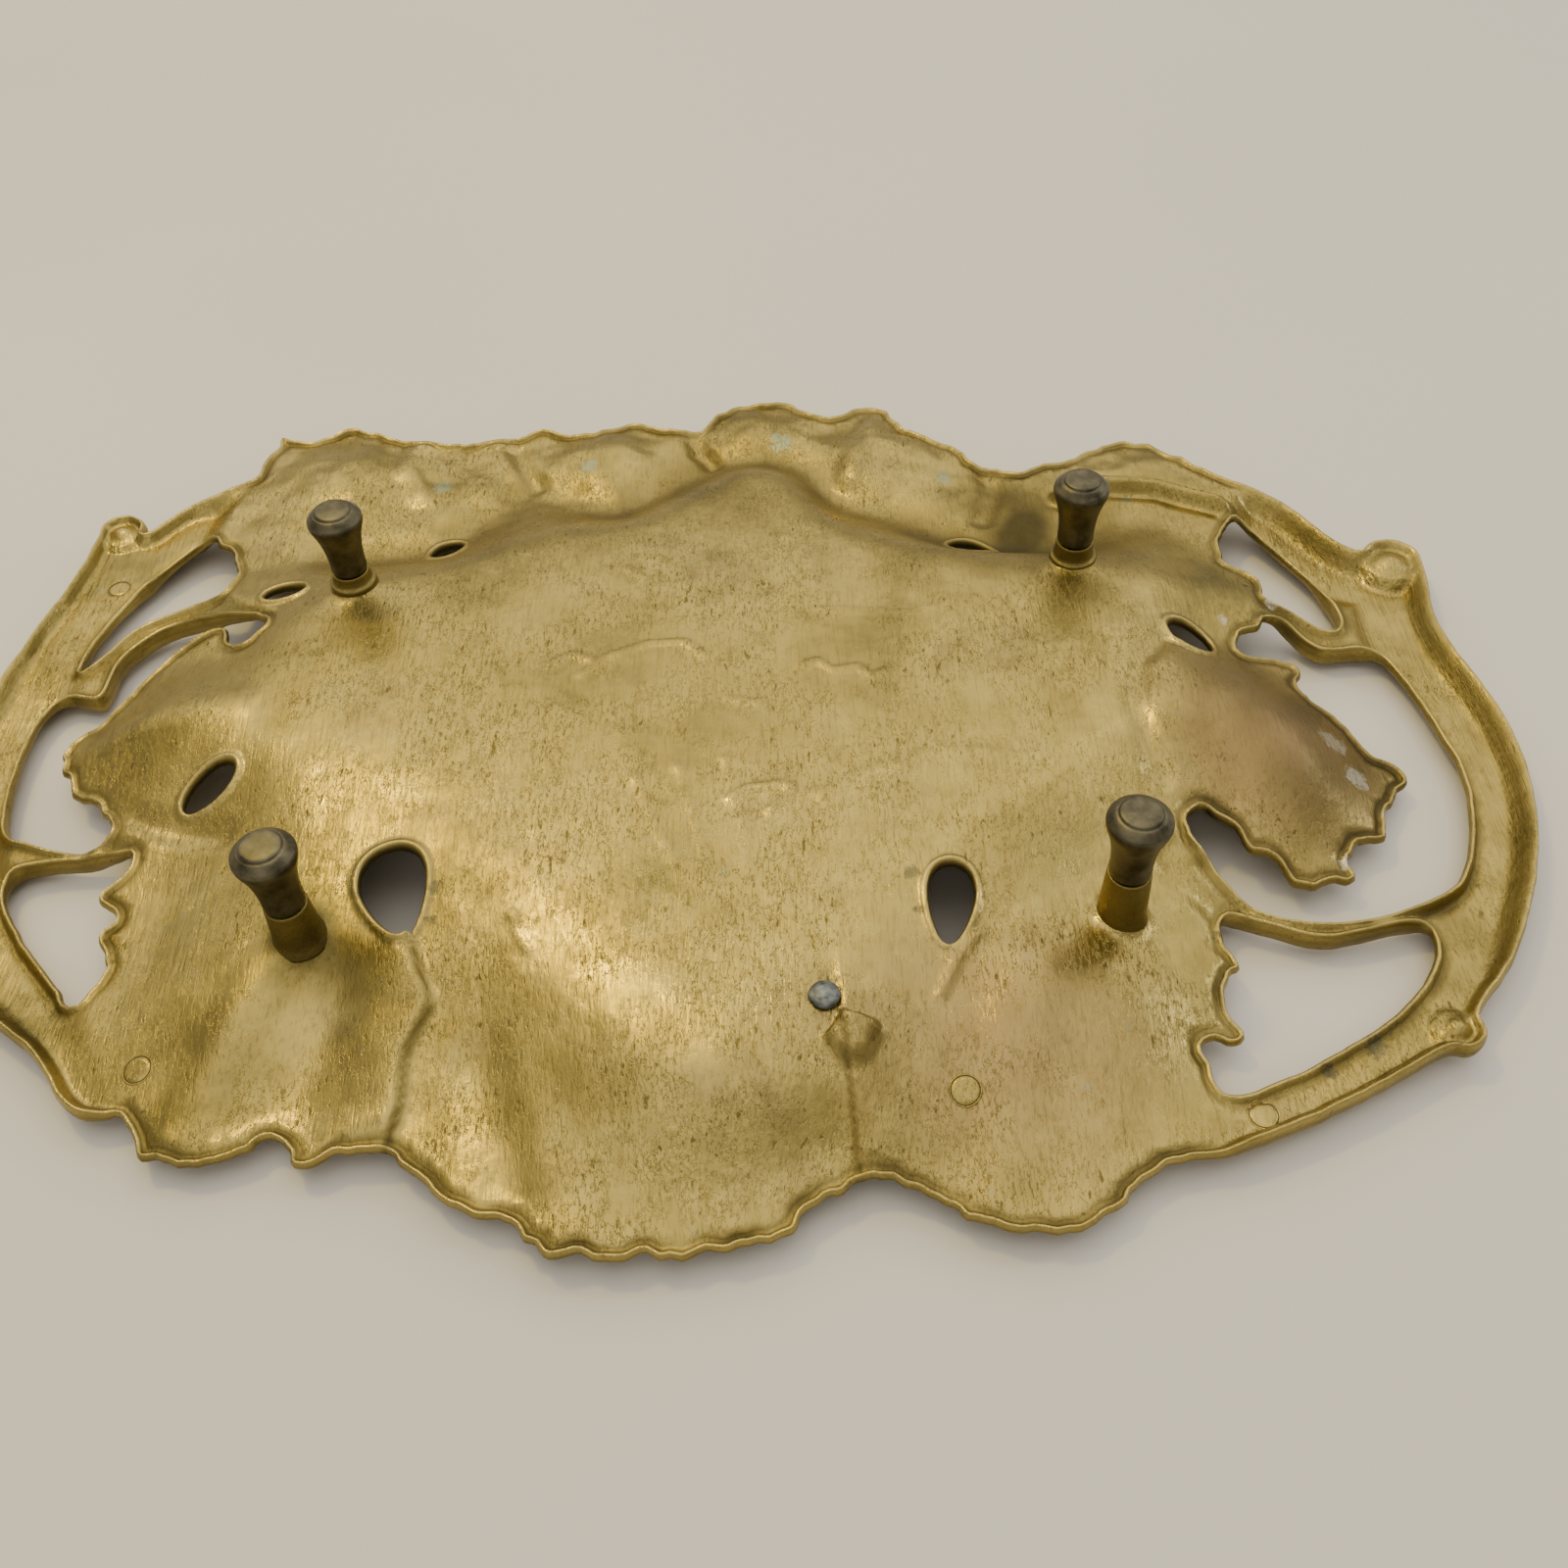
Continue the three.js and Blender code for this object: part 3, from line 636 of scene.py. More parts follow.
# ---------- the casting: margin bead, branches and all heights together ----------
# The leaf's edge carries a thin bead with a groove inside it. The branches are a shallow trough between
# a tall outer rim and a low inner one, and touch the ground along their bowed backs.
BRANCH_RIM_Z = 9.6
BRANCH_INNER_Z = 7.4
BRANCH_FLOOR_Z = 4.0
BRANCH_EDGE_Z = 4.4
STALK_RISE = 3.0
STALK_BACK_Z = 2.2
THIN_BRANCH_RISE = 2.2
STUMP_TOP_Z = 8.6
LIP = 0.9
# Beads and grooves along an edge: (height, distance from the edge, half width).
MARGIN_BEAD = (0.7, 0.7, 0.9)
MARGIN_GROOVE = (-0.6, 2.2, 1.4)
HOLE_BEAD = (0.8, 1.1, 1.5)
BRANCH_BEAD = (0.4, 0.9, 0.9)
BRANCH_GROOVE = (-0.5, 2.9, 1.1)
# The leaf swells round each boss: height, the radius where it starts to fall, and how fast it falls.
BOSS_SWELL = 2.6
BOSS_SWELL_RADIUS = 5.0
BOSS_SWELL_FALL = 1.9
# Darker along these, the trough's band as painted shade on its outer wall: (share, distance from the edge,
# half width).
GROOVE_DARKENING = (0.75, 2.2, 1.4)
TROUGH_WALL_SHADE = (0.4, 4.2, 3.0)
INNER_GROOVE_DARKENING = (0.6, 2.8, 1.6)
# The metal is painted brighter along these: rubbed bright by wear along both, and on the margin bead a
# painted highlight as well.
MARGIN_WEAR_AND_HIGHLIGHT = (0.8, 0.7, 0.8)
HOLE_WEAR = (1.0, 1.1, 1.2)
# Where the brass is painted darker, partly tarnish and partly painted shade and dark reflection on the
# valley, the right dome and the right branch: (x, y, reach, share).
SHADE_AND_TARNISH_PATCHES = [
    (92, 82, 44, 0.8), (150, -6, 44, 0.5), (-62, -46, 24, 0.35), (-92, -62, 20, 0.4), (188, -60, 60, 0.2),
    (200, 20, 60, 0.15), (-20, 128, 60, 0.15), (-130, 30, 40, 0.2), (-98, 44, 16, 0.3), (104, 44, 16, 0.3),
]
# Where the alloy shows coppery: (x, y, reach across, reach along, share).
COPPER_PATCHES = [(146, -8, 46, 46, 0.8), (66, -92, 50.6, 46, 0.55)]


def from_frame(point):
    """The tray's millimetres of a point given in metres in the frame."""
    return (point[0] - MIDDLE.x) / MM, (point[1] - MIDDLE.y) / MM, point[2] / MM


def bead(distance, shape):
    """A rounded strip along an edge, from its height, its place and its half width."""
    height, place, half = shape
    return height * hump((distance - place) / half)


def leaf_face(spots, plain, rim, to_hole, uneven):
    """Height of the leaf's underside with its beads, marks and swellings."""
    x, y = spots.T
    level = plain + uneven * (bead(rim, MARGIN_BEAD) + bead(rim, MARGIN_GROOVE)) + bead(to_hole, HOLE_BEAD)
    level = level + small_relief(spots)
    for corner in CORNERS:
        fx, fy, _ = from_frame(FOOT_AXIS[corner])
        away = np.hypot(x - fx, y - fy)
        level = level + BOSS_SWELL * np.exp(-np.maximum(away - BOSS_SWELL_RADIUS, 0) / BOSS_SWELL_FALL)
    return level


def branch_face(spots, to_outside, to_window, stalk, thin):
    """Height of a branch's trough between its rims, with the stumps of cut twigs."""
    x, y = spots.T
    floor_z = BRANCH_FLOOR_Z + STALK_RISE * stalk + THIN_BRANCH_RISE * thin * (1 - stalk)
    outer_rim = floor_z + (BRANCH_RIM_Z - floor_z) * (1 - ease(to_outside, 1.2, 6.6 - 3.0 * thin))
    outer_rim = outer_rim + bead(to_outside, BRANCH_BEAD)
    inner_rim = floor_z + (BRANCH_INNER_Z + 1.2 * stalk - floor_z) * (1 - ease(to_window, 1.0, 2.4))
    level = np.maximum(outer_rim, inner_rim) + bead(to_window, BRANCH_GROOVE) * (1 - stalk)
    for cx, cy, reach in STUMPS.values():
        away = np.hypot(x - cx, y - cy)
        radius = 0.86 * reach
        dome = STUMP_TOP_Z + 1.3 * hump(away / (radius * 0.55)) - bead(away, (1.0, radius * 0.72, 1.5))
        share = 1 - ease(away, radius * 0.8, radius * 1.15)
        level = level * (1 - share) + np.maximum(dome, outer_rim * 0.98) * share
    return level


def surfaces(spots):
    """Heights of the casting's two faces, and shares of grime and painted shade, of wear and painted
    highlight, of copper and of filing.
    """
    x, y = spots.T
    a = outer_edge.distance(spots)
    b = window_edge.distance(spots)
    c = hole_edge.distance(spots)
    rim = np.minimum(a, b)
    edge = np.minimum(rim, c)
    depth = leaf_edge.depth(spots)
    in_leaf = ease(depth, -7, 3)
    off_leaf = 1 - in_leaf
    stalk = ease(a, 17, 25) * off_leaf
    thin = np.maximum(ease(-y, 52, 84), ease(-x, 150, 170) * ease(y, 20, 60))
    uneven = 1 + 0.9 * ripple(spots, 11, 6.1)

    plain = leaf_level(spots)
    lift = np.maximum(margin_level(spots) - 9.5, 0) * ease(depth, -26, -2)
    branch = branch_face(spots, a, b, stalk, thin) + lift + 0.10 * ripple(spots, 4, 6.6)
    upper = leaf_face(spots, plain, rim, c, uneven) * in_leaf + branch * off_leaf

    bow = BRANCH_EDGE_Z * (1 - ease(rim, 0, 7.5))
    branch_back = bow * (1 - stalk) + STALK_BACK_Z * stalk + lift
    wall = EDGE_SHEET + (SHEET - EDGE_SHEET) * ease(depth, 0, 14)
    lower = np.maximum((plain - wall) * in_leaf + branch_back * off_leaf, 0.0)

    # both faces turn over the edge in a quarter round and meet half way
    middle = (upper + lower) / 2
    turn = np.sqrt(np.clip(1 - (1 - np.clip(edge / LIP, 0, 1)) ** 2, 0, 1))
    upper = middle + (upper - middle) * turn
    lower = middle + (lower - middle) * turn

    # the dark share holds dirt and painted shade: the valley at the foot of the steep fall gets a painted
    # dark reflection, and the margin's groove is darker
    to_valley, _ = line_field(spots, VALLEY)
    grime = 0.3 * hump(to_valley / 16) * in_leaf + uneven * bead(rim, GROOVE_DARKENING) * in_leaf
    # painted shade on the outer wall of each branch's trough
    grime = grime + bead(a, TROUGH_WALL_SHADE) * off_leaf * (1 - stalk) * (1 - thin)
    # painted shade along each lap fold
    for points, _, _ in LAPS:
        grime = grime + 0.6 * hump(line_field(spots, points)[0] / 1.2)
    # patches partly of tarnish and partly of painted shade and dark reflection
    for cx, cy, reach, share in SHADE_AND_TARNISH_PATCHES:
        grime = grime + share * hump(np.hypot(x - cx, y - cy) / reach) * (1 + ripple(spots, 14, 2.9))
    # darker in the groove at a branch's inner rim and at the lips of the holes
    grime = grime + bead(b, INNER_GROOVE_DARKENING) * off_leaf + 0.5 * hump(c / 1.6)
    # painted shade where the edge turns over and round the sides of the stub
    grime = grime + 0.5 * hump(edge / 1.2) * (1 - turn) + 0.2 * hump(stub_edge.distance(spots) / 2.0)
    # wear, with a painted highlight along the margin bead
    worn = uneven * bead(rim, MARGIN_WEAR_AND_HIGHLIGHT) + bead(c, HOLE_WEAR)
    copper = sum(
        share * hump(np.hypot((x - cx) / across, (y - cy) / along))
        for cx, cy, across, along, share in COPPER_PATCHES
    )
    filed = off_leaf * (1 - stalk) * ease(np.minimum(a - 3, b - 1.5), 0, 2)
    shares = [np.clip(share, 0, 1) for share in (grime, worn, copper)]
    return upper, lower, np.column_stack([*shares, filed])


# ---------- the casting: mesh ----------
# Both faces are triangulated in plan between the same edge loops, finely on the underside that shows
# and more coarsely on the face, with extra rows of points where the edge turns over.
RING_DEPTHS = {"upper": (0.12, 0.4, 0.85, 1.4, 2.0, 2.7, 3.5), "lower": (0.3, 1.0, 2.2)}
FINE = 1.35
COARSE = 2.6


def plan_points(side, spacing):
    """Rows of points along every edge, then an even field of them between."""
    rings = []
    for distance in RING_DEPTHS[side]:
        row = [inset(outside_loop, distance, True)]
        row += [inset(loop, distance, False) for loop in (*window_loops, *hole_loops)]
        row = np.vstack(row)
        rings.append(row[every_edge.distance(row) > 0.88 * distance])
    low, high = outside_loop.min(axis=0), outside_loop.max(axis=0)
    rows = np.arange(low[1], high[1], spacing * math.sqrt(0.75))
    field = np.vstack([
        np.column_stack([
            np.arange(low[0], high[0], spacing) + spacing / 2 * (k % 2),
            np.full(len(np.arange(low[0], high[0], spacing)), y),
        ]) for k, y in enumerate(rows)
    ])
    field = field[every_edge.within(field)]
    field = field[every_edge.distance(field) > RING_DEPTHS[side][-1] + 0.55 * spacing]
    return np.vstack([*rings, field])


def triangulate(loops, inner):
    """Triangles between the loops, as rows of indices into the loops' points and then the inner ones."""
    fixed = []
    edges = []
    for loop in loops:
        start = len(fixed)
        fixed += [tuple(p) for p in loop]
        edges += [(start + k, start + (k + 1) % len(loop)) for k in range(len(loop))]
    points = [Vector(p) for p in fixed] + [Vector(p) for p in inner]
    found = geometry.delaunay_2d_cdt(points, edges, [], 0, 1e-6)
    out, faces, origins = found[0], found[2], found[3]
    assert len(out) == len(points), "two plan points fell on each other"
    triangles = np.array([f for f in faces if len(f) == 3])
    source = np.array([origin[0] for origin in origins])
    triangles = source[triangles]
    spots = np.array([tuple(p) for p in points])
    centres = spots[triangles].mean(axis=1)
    triangles = triangles[every_edge.within(centres)]
    one, two, three = (spots[triangles[:, k]] for k in range(3))
    turn = np.cross(two - one, three - one)
    triangles[turn < 0] = triangles[turn < 0][:, ::-1]
    return spots, triangles


loops = [outside_loop, *window_loops, *hole_loops]
rim_count = sum(len(loop) for loop in loops)
upper_spots, upper_faces = triangulate(loops, plan_points("upper", FINE))
lower_spots, lower_faces = triangulate(loops, plan_points("lower", COARSE))
upper_z, _, upper_tint = surfaces(upper_spots)
_, lower_z, lower_tint = surfaces(lower_spots)
below = np.where(lower_faces < rim_count, lower_faces, lower_faces + len(upper_spots) - rim_count)
points = np.vstack([
    np.column_stack([upper_spots, upper_z]),
    np.column_stack([lower_spots[rim_count:], lower_z[rim_count:]]),
])
tint = np.vstack([upper_tint, lower_tint[rim_count:]])
faces = np.vstack([upper_faces, below[:, ::-1]])


# ---------- the casting: bosses ----------
# Each foot screws down on a boss cast with the leaf: a tapering column with a bead near its root at
# the back, and a plainer one in front.
BOSS_SIDES = 48
# how much darker the bosses are, in the share that holds grime and painted shade
BOSS_DARKENING = 0.55


def lathe(profile, axis, sides, wobble=0.0):
    """A turned solid about an upright axis: profile is (radius, z) from axis to axis, bottom first."""
    rings = []
    bearings = [k * math.tau / sides for k in range(sides)]
    for radius, z in profile[1:-1]:
        rings.append([
            (axis[0] + radius * math.cos(turn), axis[1] + radius * math.sin(turn), z) for turn in bearings
        ])
    verts = [(axis[0], axis[1], profile[0][1])] + [p for ring in rings for p in ring]
    verts.append((axis[0], axis[1], profile[-1][1]))
    if wobble:
        verts = [
            tuple(Vector(p) + wobble * noise.noise_vector(Vector(p) / 3.0)) for p in verts
        ]
    out = []
    for r in range(len(rings) - 1):
        for k in range(sides):
            a, b = 1 + r * sides + k, 1 + r * sides + (k + 1) % sides
            out.append((a, b, b + sides, a + sides))
    last = 1 + (len(rings) - 1) * sides
    out += [(0, 1 + (k + 1) % sides, 1 + k) for k in range(sides)]
    out += [(len(verts) - 1, last + k, last + (k + 1) % sides) for k in range(sides)]
    return verts, out


def curved(profile, rounds=2):
    """A profile with its corners cut back, so that edges turn in small steps."""
    for _ in range(rounds):
        cut = [profile[0]]
        for a, b in zip(profile, profile[1:]):
            cut.append(tuple(0.75 * p + 0.25 * q for p, q in zip(a, b)))
            cut.append(tuple(0.25 * p + 0.75 * q for p, q in zip(a, b)))
        cut.append(profile[-1])
        cut[1] = (cut[1][0], profile[0][1])
        cut[-2] = (cut[-2][0], profile[-1][1])
        profile = cut
    return profile


def surface_at(x, y):
    """Height of the underside at a spot, in the tray's millimetres."""
    return float(surfaces(np.array([[x, y], [x, y]], dtype=float))[0][0])


JOINT_Z = min(from_frame(low)[2] for low, _ in FOOT_BOX.values()) - 0.3
boss_verts, boss_faces = [], []
for corner in CORNERS:
    fx, fy, _ = from_frame(FOOT_AXIS[corner])
    ground = surface_at(fx + 9, fy) - 1.5
    profile = [(0, ground), (7.4, ground), (6.6, ground + 2.2), (6.2, ground + 3.2)]
    if corner.startswith("back"):
        profile += [(6.5, ground + 3.4), (6.5, ground + 4.6), (5.6, ground + 4.9), (5.3, ground + 6.0)]
    else:
        profile += [(5.8, ground + 5.0), (5.4, JOINT_Z - 4)]
    profile += [(5.2, JOINT_Z - 1.2), (5.2, JOINT_Z - 0.1), (4.6, JOINT_Z), (0, JOINT_Z)]
    verts, polygons = lathe(curved(profile), (fx, fy), BOSS_SIDES)
    start = len(points) + len(boss_verts)
    boss_faces += [tuple(start + v for v in f) for f in polygons]
    boss_verts += verts

all_points = np.vstack([points, np.array(boss_verts)])
tint = np.vstack([tint, np.tile([BOSS_DARKENING, 0.0, 0.0, 0.0], (len(boss_verts), 1))])

# ---------- the casting: old brass ----------
# Sand-cast brass, left as cast underneath, fettled by file and darkened by long handling. That gives
# the eye an olive gold with browner clouds, coppery lobes, fine pits and long hairlines.
# Its dark layer also paints shade in the valleys, folds and branch walls, and its rubbed layer paints a
# highlight on the margin bead.
old_brass, tree, shader = blank_material("old_cast_brass", Metallic=1.0)
where = add(tree, "TexCoord").outputs["Object"]
painted_on = add(tree, "Attribute", {"attribute_name": "surface"})
marks = add(tree, "SeparateColor", Color=painted_on.outputs["Color"]).outputs
left_on = add(tree, "Attribute", {"attribute_name": "deposits"})
deposits = add(tree, "SeparateColor", Color=left_on.outputs["Color"]).outputs

# fettling streaks and hairlines run from the back of the tray to the front, and cuts of the file slant
# across the branches
GRAINS = {
    "long": {"Scale": (1.0, 0.08, 1.0)},
    "short": {"Scale": (1.0, 0.28, 1.0)},
    "slanted": {"Scale": (1.0, 0.06, 1.0), "Rotation": (0, 0, math.radians(55))},
}
grain = {name: add(tree, "Mapping", Vector=where, **way).outputs["Vector"] for name, way in GRAINS.items()}
grain["even"] = where

# (size in mm, detail, roughness, grain). Hairlines, cracks, pits and file cuts are a few tenths of a
# millimetre in life and would not show, so they are drawn three to five times as coarse.
PATTERNS = {
    "clouds": (34, 5.0, 0.60, "even"),
    "patches": (9, 4.0, 0.65, "even"),
    "crowding": (26, 5.0, 0.65, "even"),
    "spots": (1.8, 4.0, 0.70, "even"),
    "flecks": (5, 2.0, 0.55, "even"),
    "orange_peel": (3.2, 3.0, 0.55, "even"),
    "streaks": (2.2, 4.0, 0.70, "long"),
    "hairlines": (0.8, 3.0, 0.55, "long"),
    "crazing": (1.6, 4.0, 0.70, "short"),
    "pocks": (1.1, 2.0, 0.55, "short"),
    "file_cuts": (1.2, 2.0, 0.55, "slanted"),
}
share = {"filed": painted_on.outputs["Alpha"]}
# red darkens for grime and painted shade, and green brightens for wear and a painted highlight
for name, channel in (("grime", "Red"), ("worn", "Green"), ("copper", "Blue")):
    share[name] = marks[channel]
for name, (size_mm, detail, roughness, way) in PATTERNS.items():
    pattern = add(
        tree, "TexNoise", Vector=grain[way], Scale=1000 / size_mm, Detail=detail, Roughness=roughness,
    )
    share[name] = pattern.outputs["Fac"]

# what part of a pattern shows, as a ramp of greys over it
SHOWING = {
    "tarnish": ("patches", [(0.42, "#000000"), (0.70, "#7c7c7c")]),
    "bright": ("patches", [(0.30, "#5c5c5c"), (0.44, "#000000")]),
    "streaked": ("streaks", [(0.52, "#000000"), (0.80, "#5c5c5c")]),
    "hairs": ("hairlines", [(0.52, "#000000"), (0.70, "#ffffff")]),
    "crowded": ("crowding", [(0.40, "#000000"), (0.54, "#ffffff")]),
    "cracks": ("crazing", [(0.480, "#000000"), (0.500, "#ffffff"), (0.520, "#000000")]),
    "pits": ("pocks", [(0.62, "#000000"), (0.70, "#ffffff")]),
    "specks": ("flecks", [(0.735, "#000000"), (0.76, "#909090")]),
}
for name, (pattern, stops) in SHOWING.items():
    share[name] = add(tree, "ValToRGB", {"stops": stops}, Fac=share[pattern]).outputs["Color"]

# short dark cracks and pits crowd in patches, and the bump adds up streaks, pits and cuts of the file
SUMS = {
    "flaws": ("MAXIMUM", "cracks", "pits"),
    "broken": ("MULTIPLY", "flaws", "crowded"),
    "broken_dirt": ("MULTIPLY", "broken", 0.8),
    "all_dirt": ("MAXIMUM", "broken_dirt", "grime"),
    "dirt_and_shade": ("MULTIPLY", "all_dirt", 0.9),
    "faint_hairs": ("MULTIPLY", "hairs", 0.32),
    "rubbed_and_highlit": ("MULTIPLY", "worn", 0.5),
    "spotty": ("SUBTRACT", "spots", 1.0),
    "cut": ("MULTIPLY", "file_cuts", "filed"),
    "peel": ("MULTIPLY", "orange_peel", 0.7),
    "peel_and_hairs": ("MULTIPLY_ADD", "hairs", -0.25, "peel"),
    "with_streaks": ("MULTIPLY_ADD", "streaks", 0.8, "peel_and_hairs"),
    "with_flaws": ("MULTIPLY_ADD", "broken", -0.6, "with_streaks"),
    "relief": ("MULTIPLY_ADD", "cut", 2.2, "with_flaws"),
}
for name, (operation, *terms) in SUMS.items():
    sockets = {f"i{k}": share.get(term, term) for k, term in enumerate(terms)}
    share[name] = add(tree, "Math", {"operation": operation}, **sockets).outputs[0]

# deposits: white polish dried in corners, verdigris and lead-grey scale, all broken up by spots
for name, channel in (("polish", "Red"), ("verdigris", "Green"), ("scale", "Blue")):
    kept = add(tree, "Math", {"operation": "ADD"}, i0=deposits[channel], i1=share["spotty"])
    stops = [(0.24, "#000000"), (0.42, "#d0d0d0")]
    share[name] = add(tree, "ValToRGB", {"stops": stops}, Fac=kept.outputs[0]).outputs["Color"]

BRASS = [(0.32, "#7c703e"), (0.46, "#a08e4f"), (0.58, "#ac9a58"), (0.72, "#8d7d4c")]
colour = add(tree, "ValToRGB", {"stops": BRASS}, Fac=share["clouds"]).outputs["Color"]
# the dirt layer is dirt and painted shade, and the rubbed layer is wear and a painted highlight
LAYERS = [
    ("tarnish", "#776a3c"), ("bright", "#b9a662"), ("copper", "#8e7654"), ("streaked", "#bca862"),
    ("faint_hairs", "#5f5430"), ("dirt_and_shade", "#464029"), ("rubbed_and_highlit", "#c4b06a"), ("polish", "#c4c1b4"),
    ("verdigris", "#86957a"), ("scale", "#44473f"), ("specks", "#86957a"),
]
for name, tone in LAYERS:
    mixed = add(tree, "Mix", {"data_type": "RGBA"}, i0=share[name], i6=colour, i7=paint(tone))
    colour = mixed.outputs[2]
tree.links.new(colour, shader.inputs["Base Color"])

# satin, duller where dirt and painted shade lie
satin = add(tree, "MapRange", Value=share["patches"], From_Min=0.3, From_Max=0.7, To_Min=0.22, To_Max=0.38)
gloss = add(
    tree, "Math", {"operation": "MULTIPLY_ADD"}, i0=share["dirt_and_shade"], i1=0.35, i2=satin.outputs["Result"],
)
tree.links.new(gloss.outputs[0], shader.inputs["Roughness"])
bump = add(tree, "Bump", Height=share["relief"], Strength=0.36, Distance=0.0004)
tree.links.new(bump.outputs["Normal"], shader.inputs["Normal"])


def piece(name, verts, polygons, material, smooth=True):
    """A mesh object from points in the tray's millimetres, riding on the one body."""
    mesh = bpy.data.meshes.new(name)
    mesh.from_pydata([in_tray(p) for p in verts], [], [tuple(f) for f in polygons])
    mesh.polygons.foreach_set("use_smooth", [smooth] * len(mesh.polygons))
    mesh.materials.append(material)
    mesh.update()
    made = bpy.data.objects.new(name, mesh)
    bpy.context.collection.objects.link(made)
    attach(made, "root")
    return made


def mark_points(made, name, shares):
    """Stores four shares per point of a mesh, under a name that the brass reads."""
    layer = made.data.color_attributes.new(name, "FLOAT_COLOR", "POINT")
    layer.data.foreach_set("color", shares.ravel())


casting = piece("tray_casting", all_points, [*faces, *boss_faces], old_brass)
mark_points(casting, "surface", tint)
# Where each deposit lies: (x, y, reach) of white polish, of verdigris and of lead-grey scale.
DEPOSITS = [
    [(157, 50, 3.5), (160, -6, 7), (164, -16, 6), (156, -41, 4), (170, -26, 3), (141, 40, 3)],
    [(20, 132, 7), (-86, 118, 6), (-40, 122, 6), (124, 97, 4), (-146, 80, 5), (70, 112, 5)],
    [(-65, -48, 4), (-66, -56, 3), (48, -50, 4), (49, -60, 3), (150, -92, 5), (138, -98, 4), (120, -62, 3),
     (-84, -48, 2.5), (128, -66, 3)],
]
DEPOSIT_SPREAD = 1.6
shares = np.zeros((len(all_points), 4))
for channel, group in enumerate(DEPOSITS):
    for cx, cy, reach in group:
        away = np.hypot(all_points[:, 0] - cx, all_points[:, 1] - cy) / reach
        shares[:, channel] = np.maximum(shares[:, channel], hump(away / DEPOSIT_SPREAD))
mark_points(casting, "deposits", shares)
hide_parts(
    "leaf_body", "left_handle", "right_handle",
    "left_upper_stem", "left_lower_stem", "right_upper_stem", "right_lower_stem",
)

# ---------- the feet ----------
# Turned bronze feet, one screwed down on each boss: a waisted neck that swells to a shoulder, with a
# chamfer and a raised disc on the end that stands on the table. The patina gives the eye a dark olive
# brown, satin and a little cloudy, with faint rings from the lathe.
PATINA_MM = 5
# real turning lines are about 0.2 mm apart, and are drawn coarser so that they show
TURNING_MM = 0.5
PATINA = [(0.32, "#434035"), (0.5, "#5b5747"), (0.7, "#736d58")]


def clouded_metal(name, cloud_mm, detail, roughness, stops, **inputs):
    """A metal with its colour in clouds: material, tree, shader, coordinates and the clouds' shares."""
    material, tree, shader = blank_material(name, Metallic=1.0, **inputs)
    where = add(tree, "TexCoord").outputs["Object"]
    clouds = add(
        tree, "TexNoise", Vector=where, Scale=1000 / cloud_mm, Detail=detail, Roughness=roughness,
    ).outputs["Fac"]
    colour = add(tree, "ValToRGB", {"stops": stops}, Fac=clouds)
    tree.links.new(colour.outputs["Color"], shader.inputs["Base Color"])
    return material, tree, shader, where, clouds


foot_bronze, tree, shader, where, clouds = clouded_metal("dark_turned_bronze", PATINA_MM, 5.0, 0.65, PATINA)
turned = add(tree, "Mapping", Vector=where, Scale=(0.06, 0.06, 1.0))
lines = add(tree, "TexNoise", Vector=turned.outputs["Vector"], Scale=1000 / TURNING_MM, Detail=2.0)
dull = add(tree, "MapRange", Value=clouds, From_Min=0.3, From_Max=0.7, To_Min=0.36, To_Max=0.52)
tree.links.new(dull.outputs["Result"], shader.inputs["Roughness"])
bump = add(tree, "Bump", Height=lines.outputs["Fac"], Strength=0.3, Distance=0.0001)
tree.links.new(bump.outputs["Normal"], shader.inputs["Normal"])

FOOT_TOP = from_frame(FOOT_BOX["back_left"][1])[2]
FOOT_RADIUS = (FOOT_BOX["back_left"][1][0] - FOOT_BOX["back_left"][0][0]) / 2 / MM
FOOT_SIDES = 64
for corner in CORNERS:
    fx, fy, _ = from_frame(FOOT_AXIS[corner])
    base = from_frame(FOOT_BOX[corner][0])[2]
    end = FOOT_TOP
    profile = [
        (0, base), (4.6, base), (5.0, base + 0.5), (4.9, base + 4), (5.3, base + 8.5), (6.2, base + 12.5),
        (7.1, base + 15), (FOOT_RADIUS, end - 4.3), (FOOT_RADIUS, end - 2.9),
        (FOOT_RADIUS - 0.7, end - 2.2), (5.6, end - 1.0), (5.0, end - 0.9), (4.7, end - 0.2), (3.2, end),
        (0, end),
    ]
    verts, polygons = lathe(curved(profile), (fx, fy), FOOT_SIDES)
    foot = piece(f"turned_foot_{corner}", verts, polygons, foot_bronze)
    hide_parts(f"foot_{corner}")

# ---------- the studs ----------
# Steel studs inside the joints, cut from rod. They don't show when the tray is together. Bare steel
# gives the eye a flat warm grey with darker stains.
STAIN_MM = 2
STAINS = [(0.35, "#5f5b54"), (0.7, "#8b877e")]
stud_steel = clouded_metal("dull_cut_steel", STAIN_MM, 3.0, 0.5, STAINS, Roughness=0.45)[0]
for corner in CORNERS:
    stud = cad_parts[f"foot_stud_{corner}"]
    stud.data.materials.clear()
    stud.data.materials.append(stud_steel)

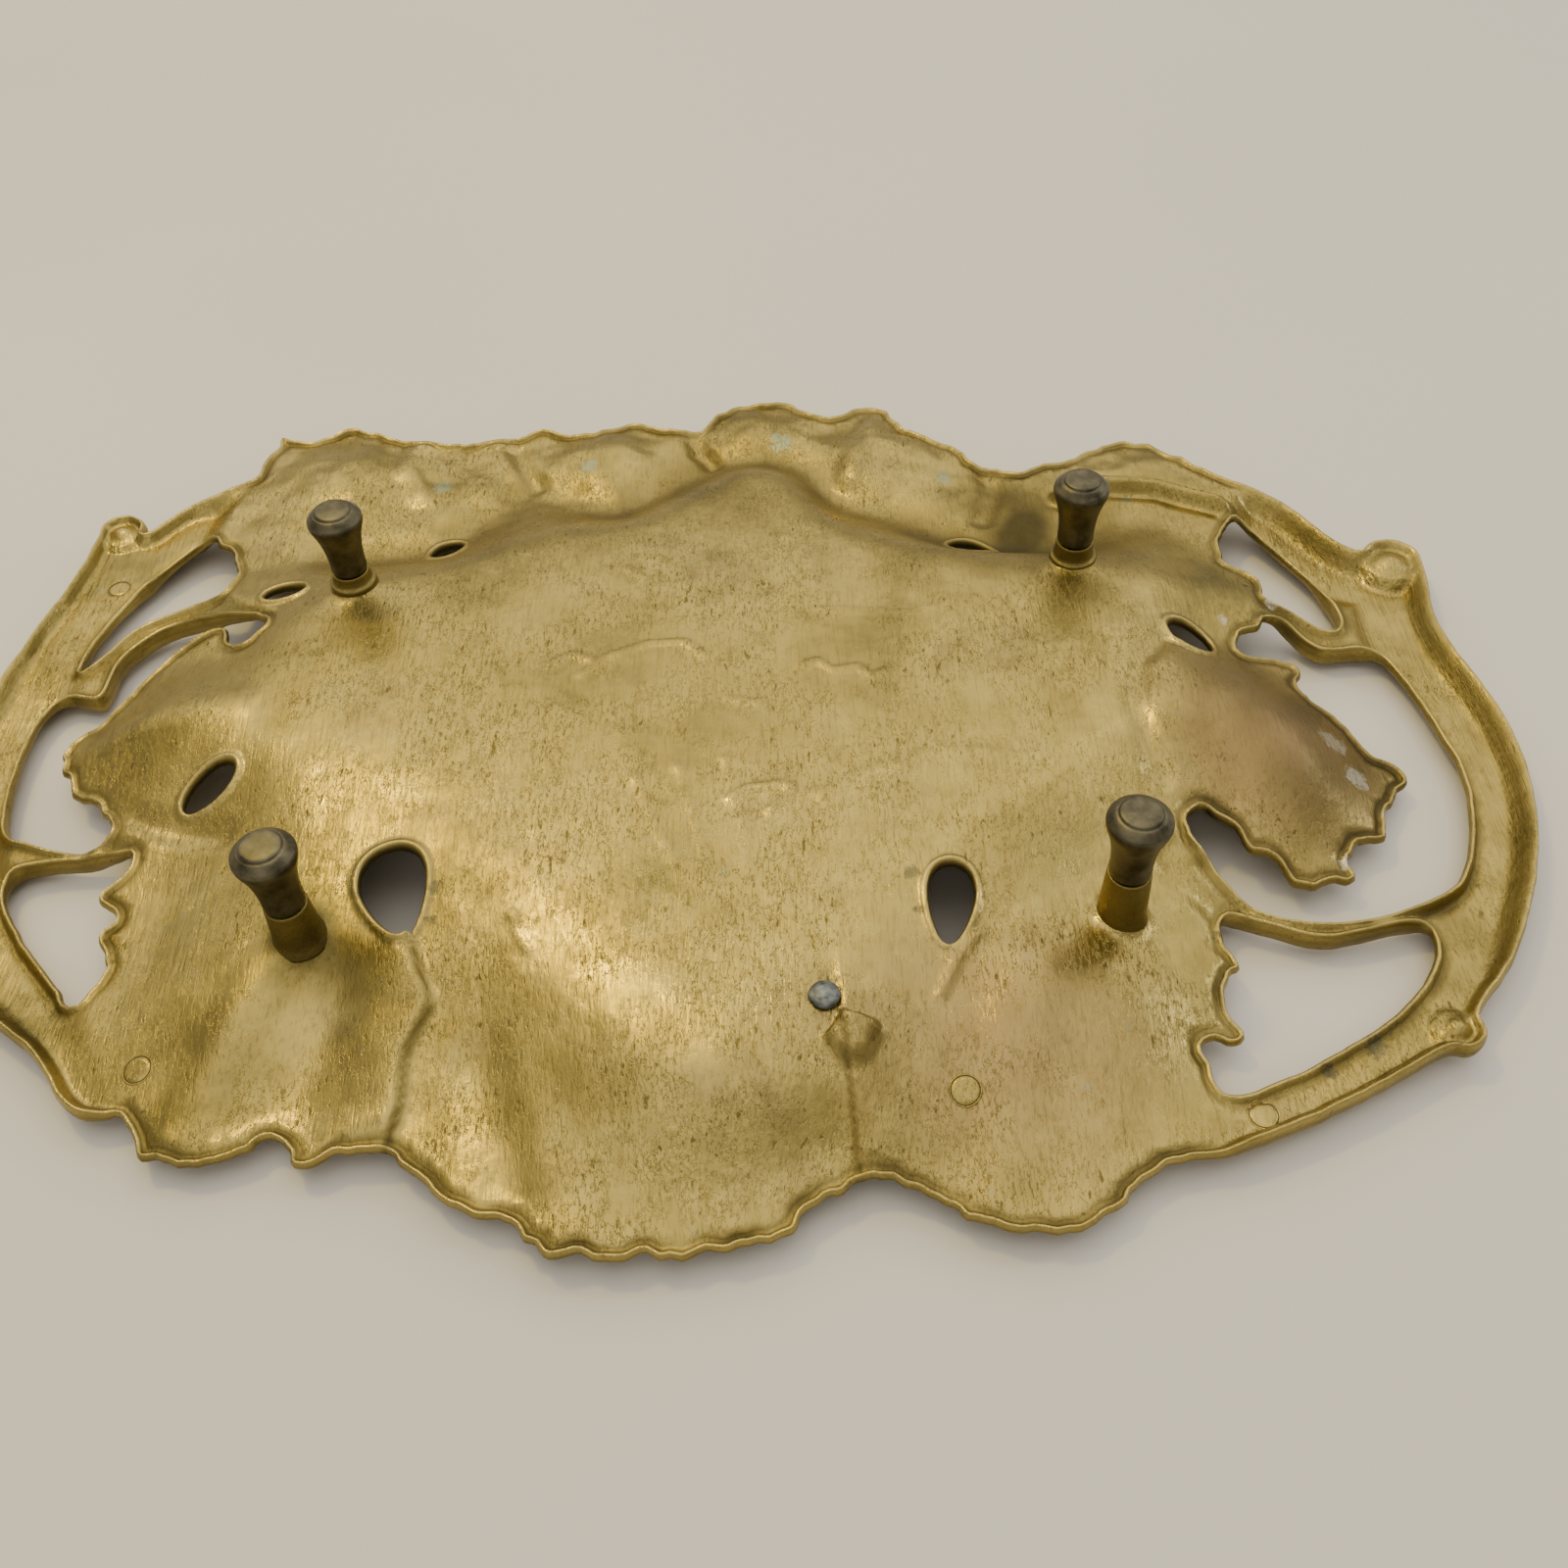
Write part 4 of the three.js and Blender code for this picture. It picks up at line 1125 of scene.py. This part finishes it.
# ---------- the plugs ----------
# Round brass plugs, of the same metal as the casting, hammered into its holes and filed flush. Only a
# fine dark ring shows.
PLUG_RADIUS = 3.3
PLUG_SIDES = 40
PLUGS = {
    "plug_left_handle": "left_handle_plug", "plug_right_handle": "right_handle_plug",
    "plug_leaf_front_left": "front_left_plug", "plug_leaf_front": "front_plug",
}
for node, name in PLUGS.items():
    low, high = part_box(node)
    px, py, _ = from_frame((Vector(low) + Vector(high)) / 2)
    profile = [
        (0, -1.5), (PLUG_RADIUS + 0.4, -1.5), (PLUG_RADIUS + 0.4, 0.02), (PLUG_RADIUS + 0.25, 0.14),
        (PLUG_RADIUS + 0.1, 0.14), (PLUG_RADIUS, 0.05), (PLUG_RADIUS - 0.2, 0.05),
        (PLUG_RADIUS - 0.3, 0.14), (PLUG_RADIUS - 1.2, 0.15), (1.0, 0.15), (0, 0.15),
    ]
    verts, polygons = lathe(profile, (px, py), PLUG_SIDES)
    radii = [math.hypot(x - px, y - py) for x, y, _ in verts]
    ring = [float(PLUG_RADIUS - 0.25 < radius < PLUG_RADIUS + 0.05) for radius in radii]
    heights = surfaces(np.array([(x, y) for x, y, _ in verts]))[0]
    verts = [(x, y, z + ground) for (x, y, z), ground in zip(verts, heights)]
    plug = piece(name, verts, polygons, old_brass)
    mark_points(plug, "surface", np.column_stack([ring, *[np.zeros(len(ring))] * 3]))
    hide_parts(node)

# ---------- the repair rivet ----------
# A soft grey rivet near the front margin, set by hammer over a flaw in the casting. Beaten lead gives
# the eye a dull blue grey, dented all over.
DENT_MM = 1.8
RIVET_SIDES = 36
HAMMER_WOBBLE = 0.35
# without a seed of its own, every run would dent the rivet differently
HAMMER_SEED = 12
LEAD = [(0.3, "#4c5152"), (0.7, "#8a9091")]
rivet_lead, tree, shader, _, dents = clouded_metal("hammered_lead", DENT_MM, 4.0, 0.5, LEAD, Roughness=0.55)
bump = add(tree, "Bump", Height=dents, Strength=0.6, Distance=0.0004)
tree.links.new(bump.outputs["Normal"], shader.inputs["Normal"])
low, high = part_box("repair_rivet")
px, py, _ = from_frame((Vector(low) + Vector(high)) / 2)
face = surface_at(px, py)
profile = [
    (0, face - 1.5), (2.4, face - 1.5), (3.7, face + 0.2), (3.5, face + 1.0), (2.3, face + 1.7),
    (0, face + 1.9),
]
noise.seed_set(HAMMER_SEED)
verts, polygons = lathe(curved(profile), (px, py), RIVET_SIDES, wobble=HAMMER_WOBBLE)
rivet = piece("lead_rivet", verts, polygons, rivet_lead)
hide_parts("repair_rivet")
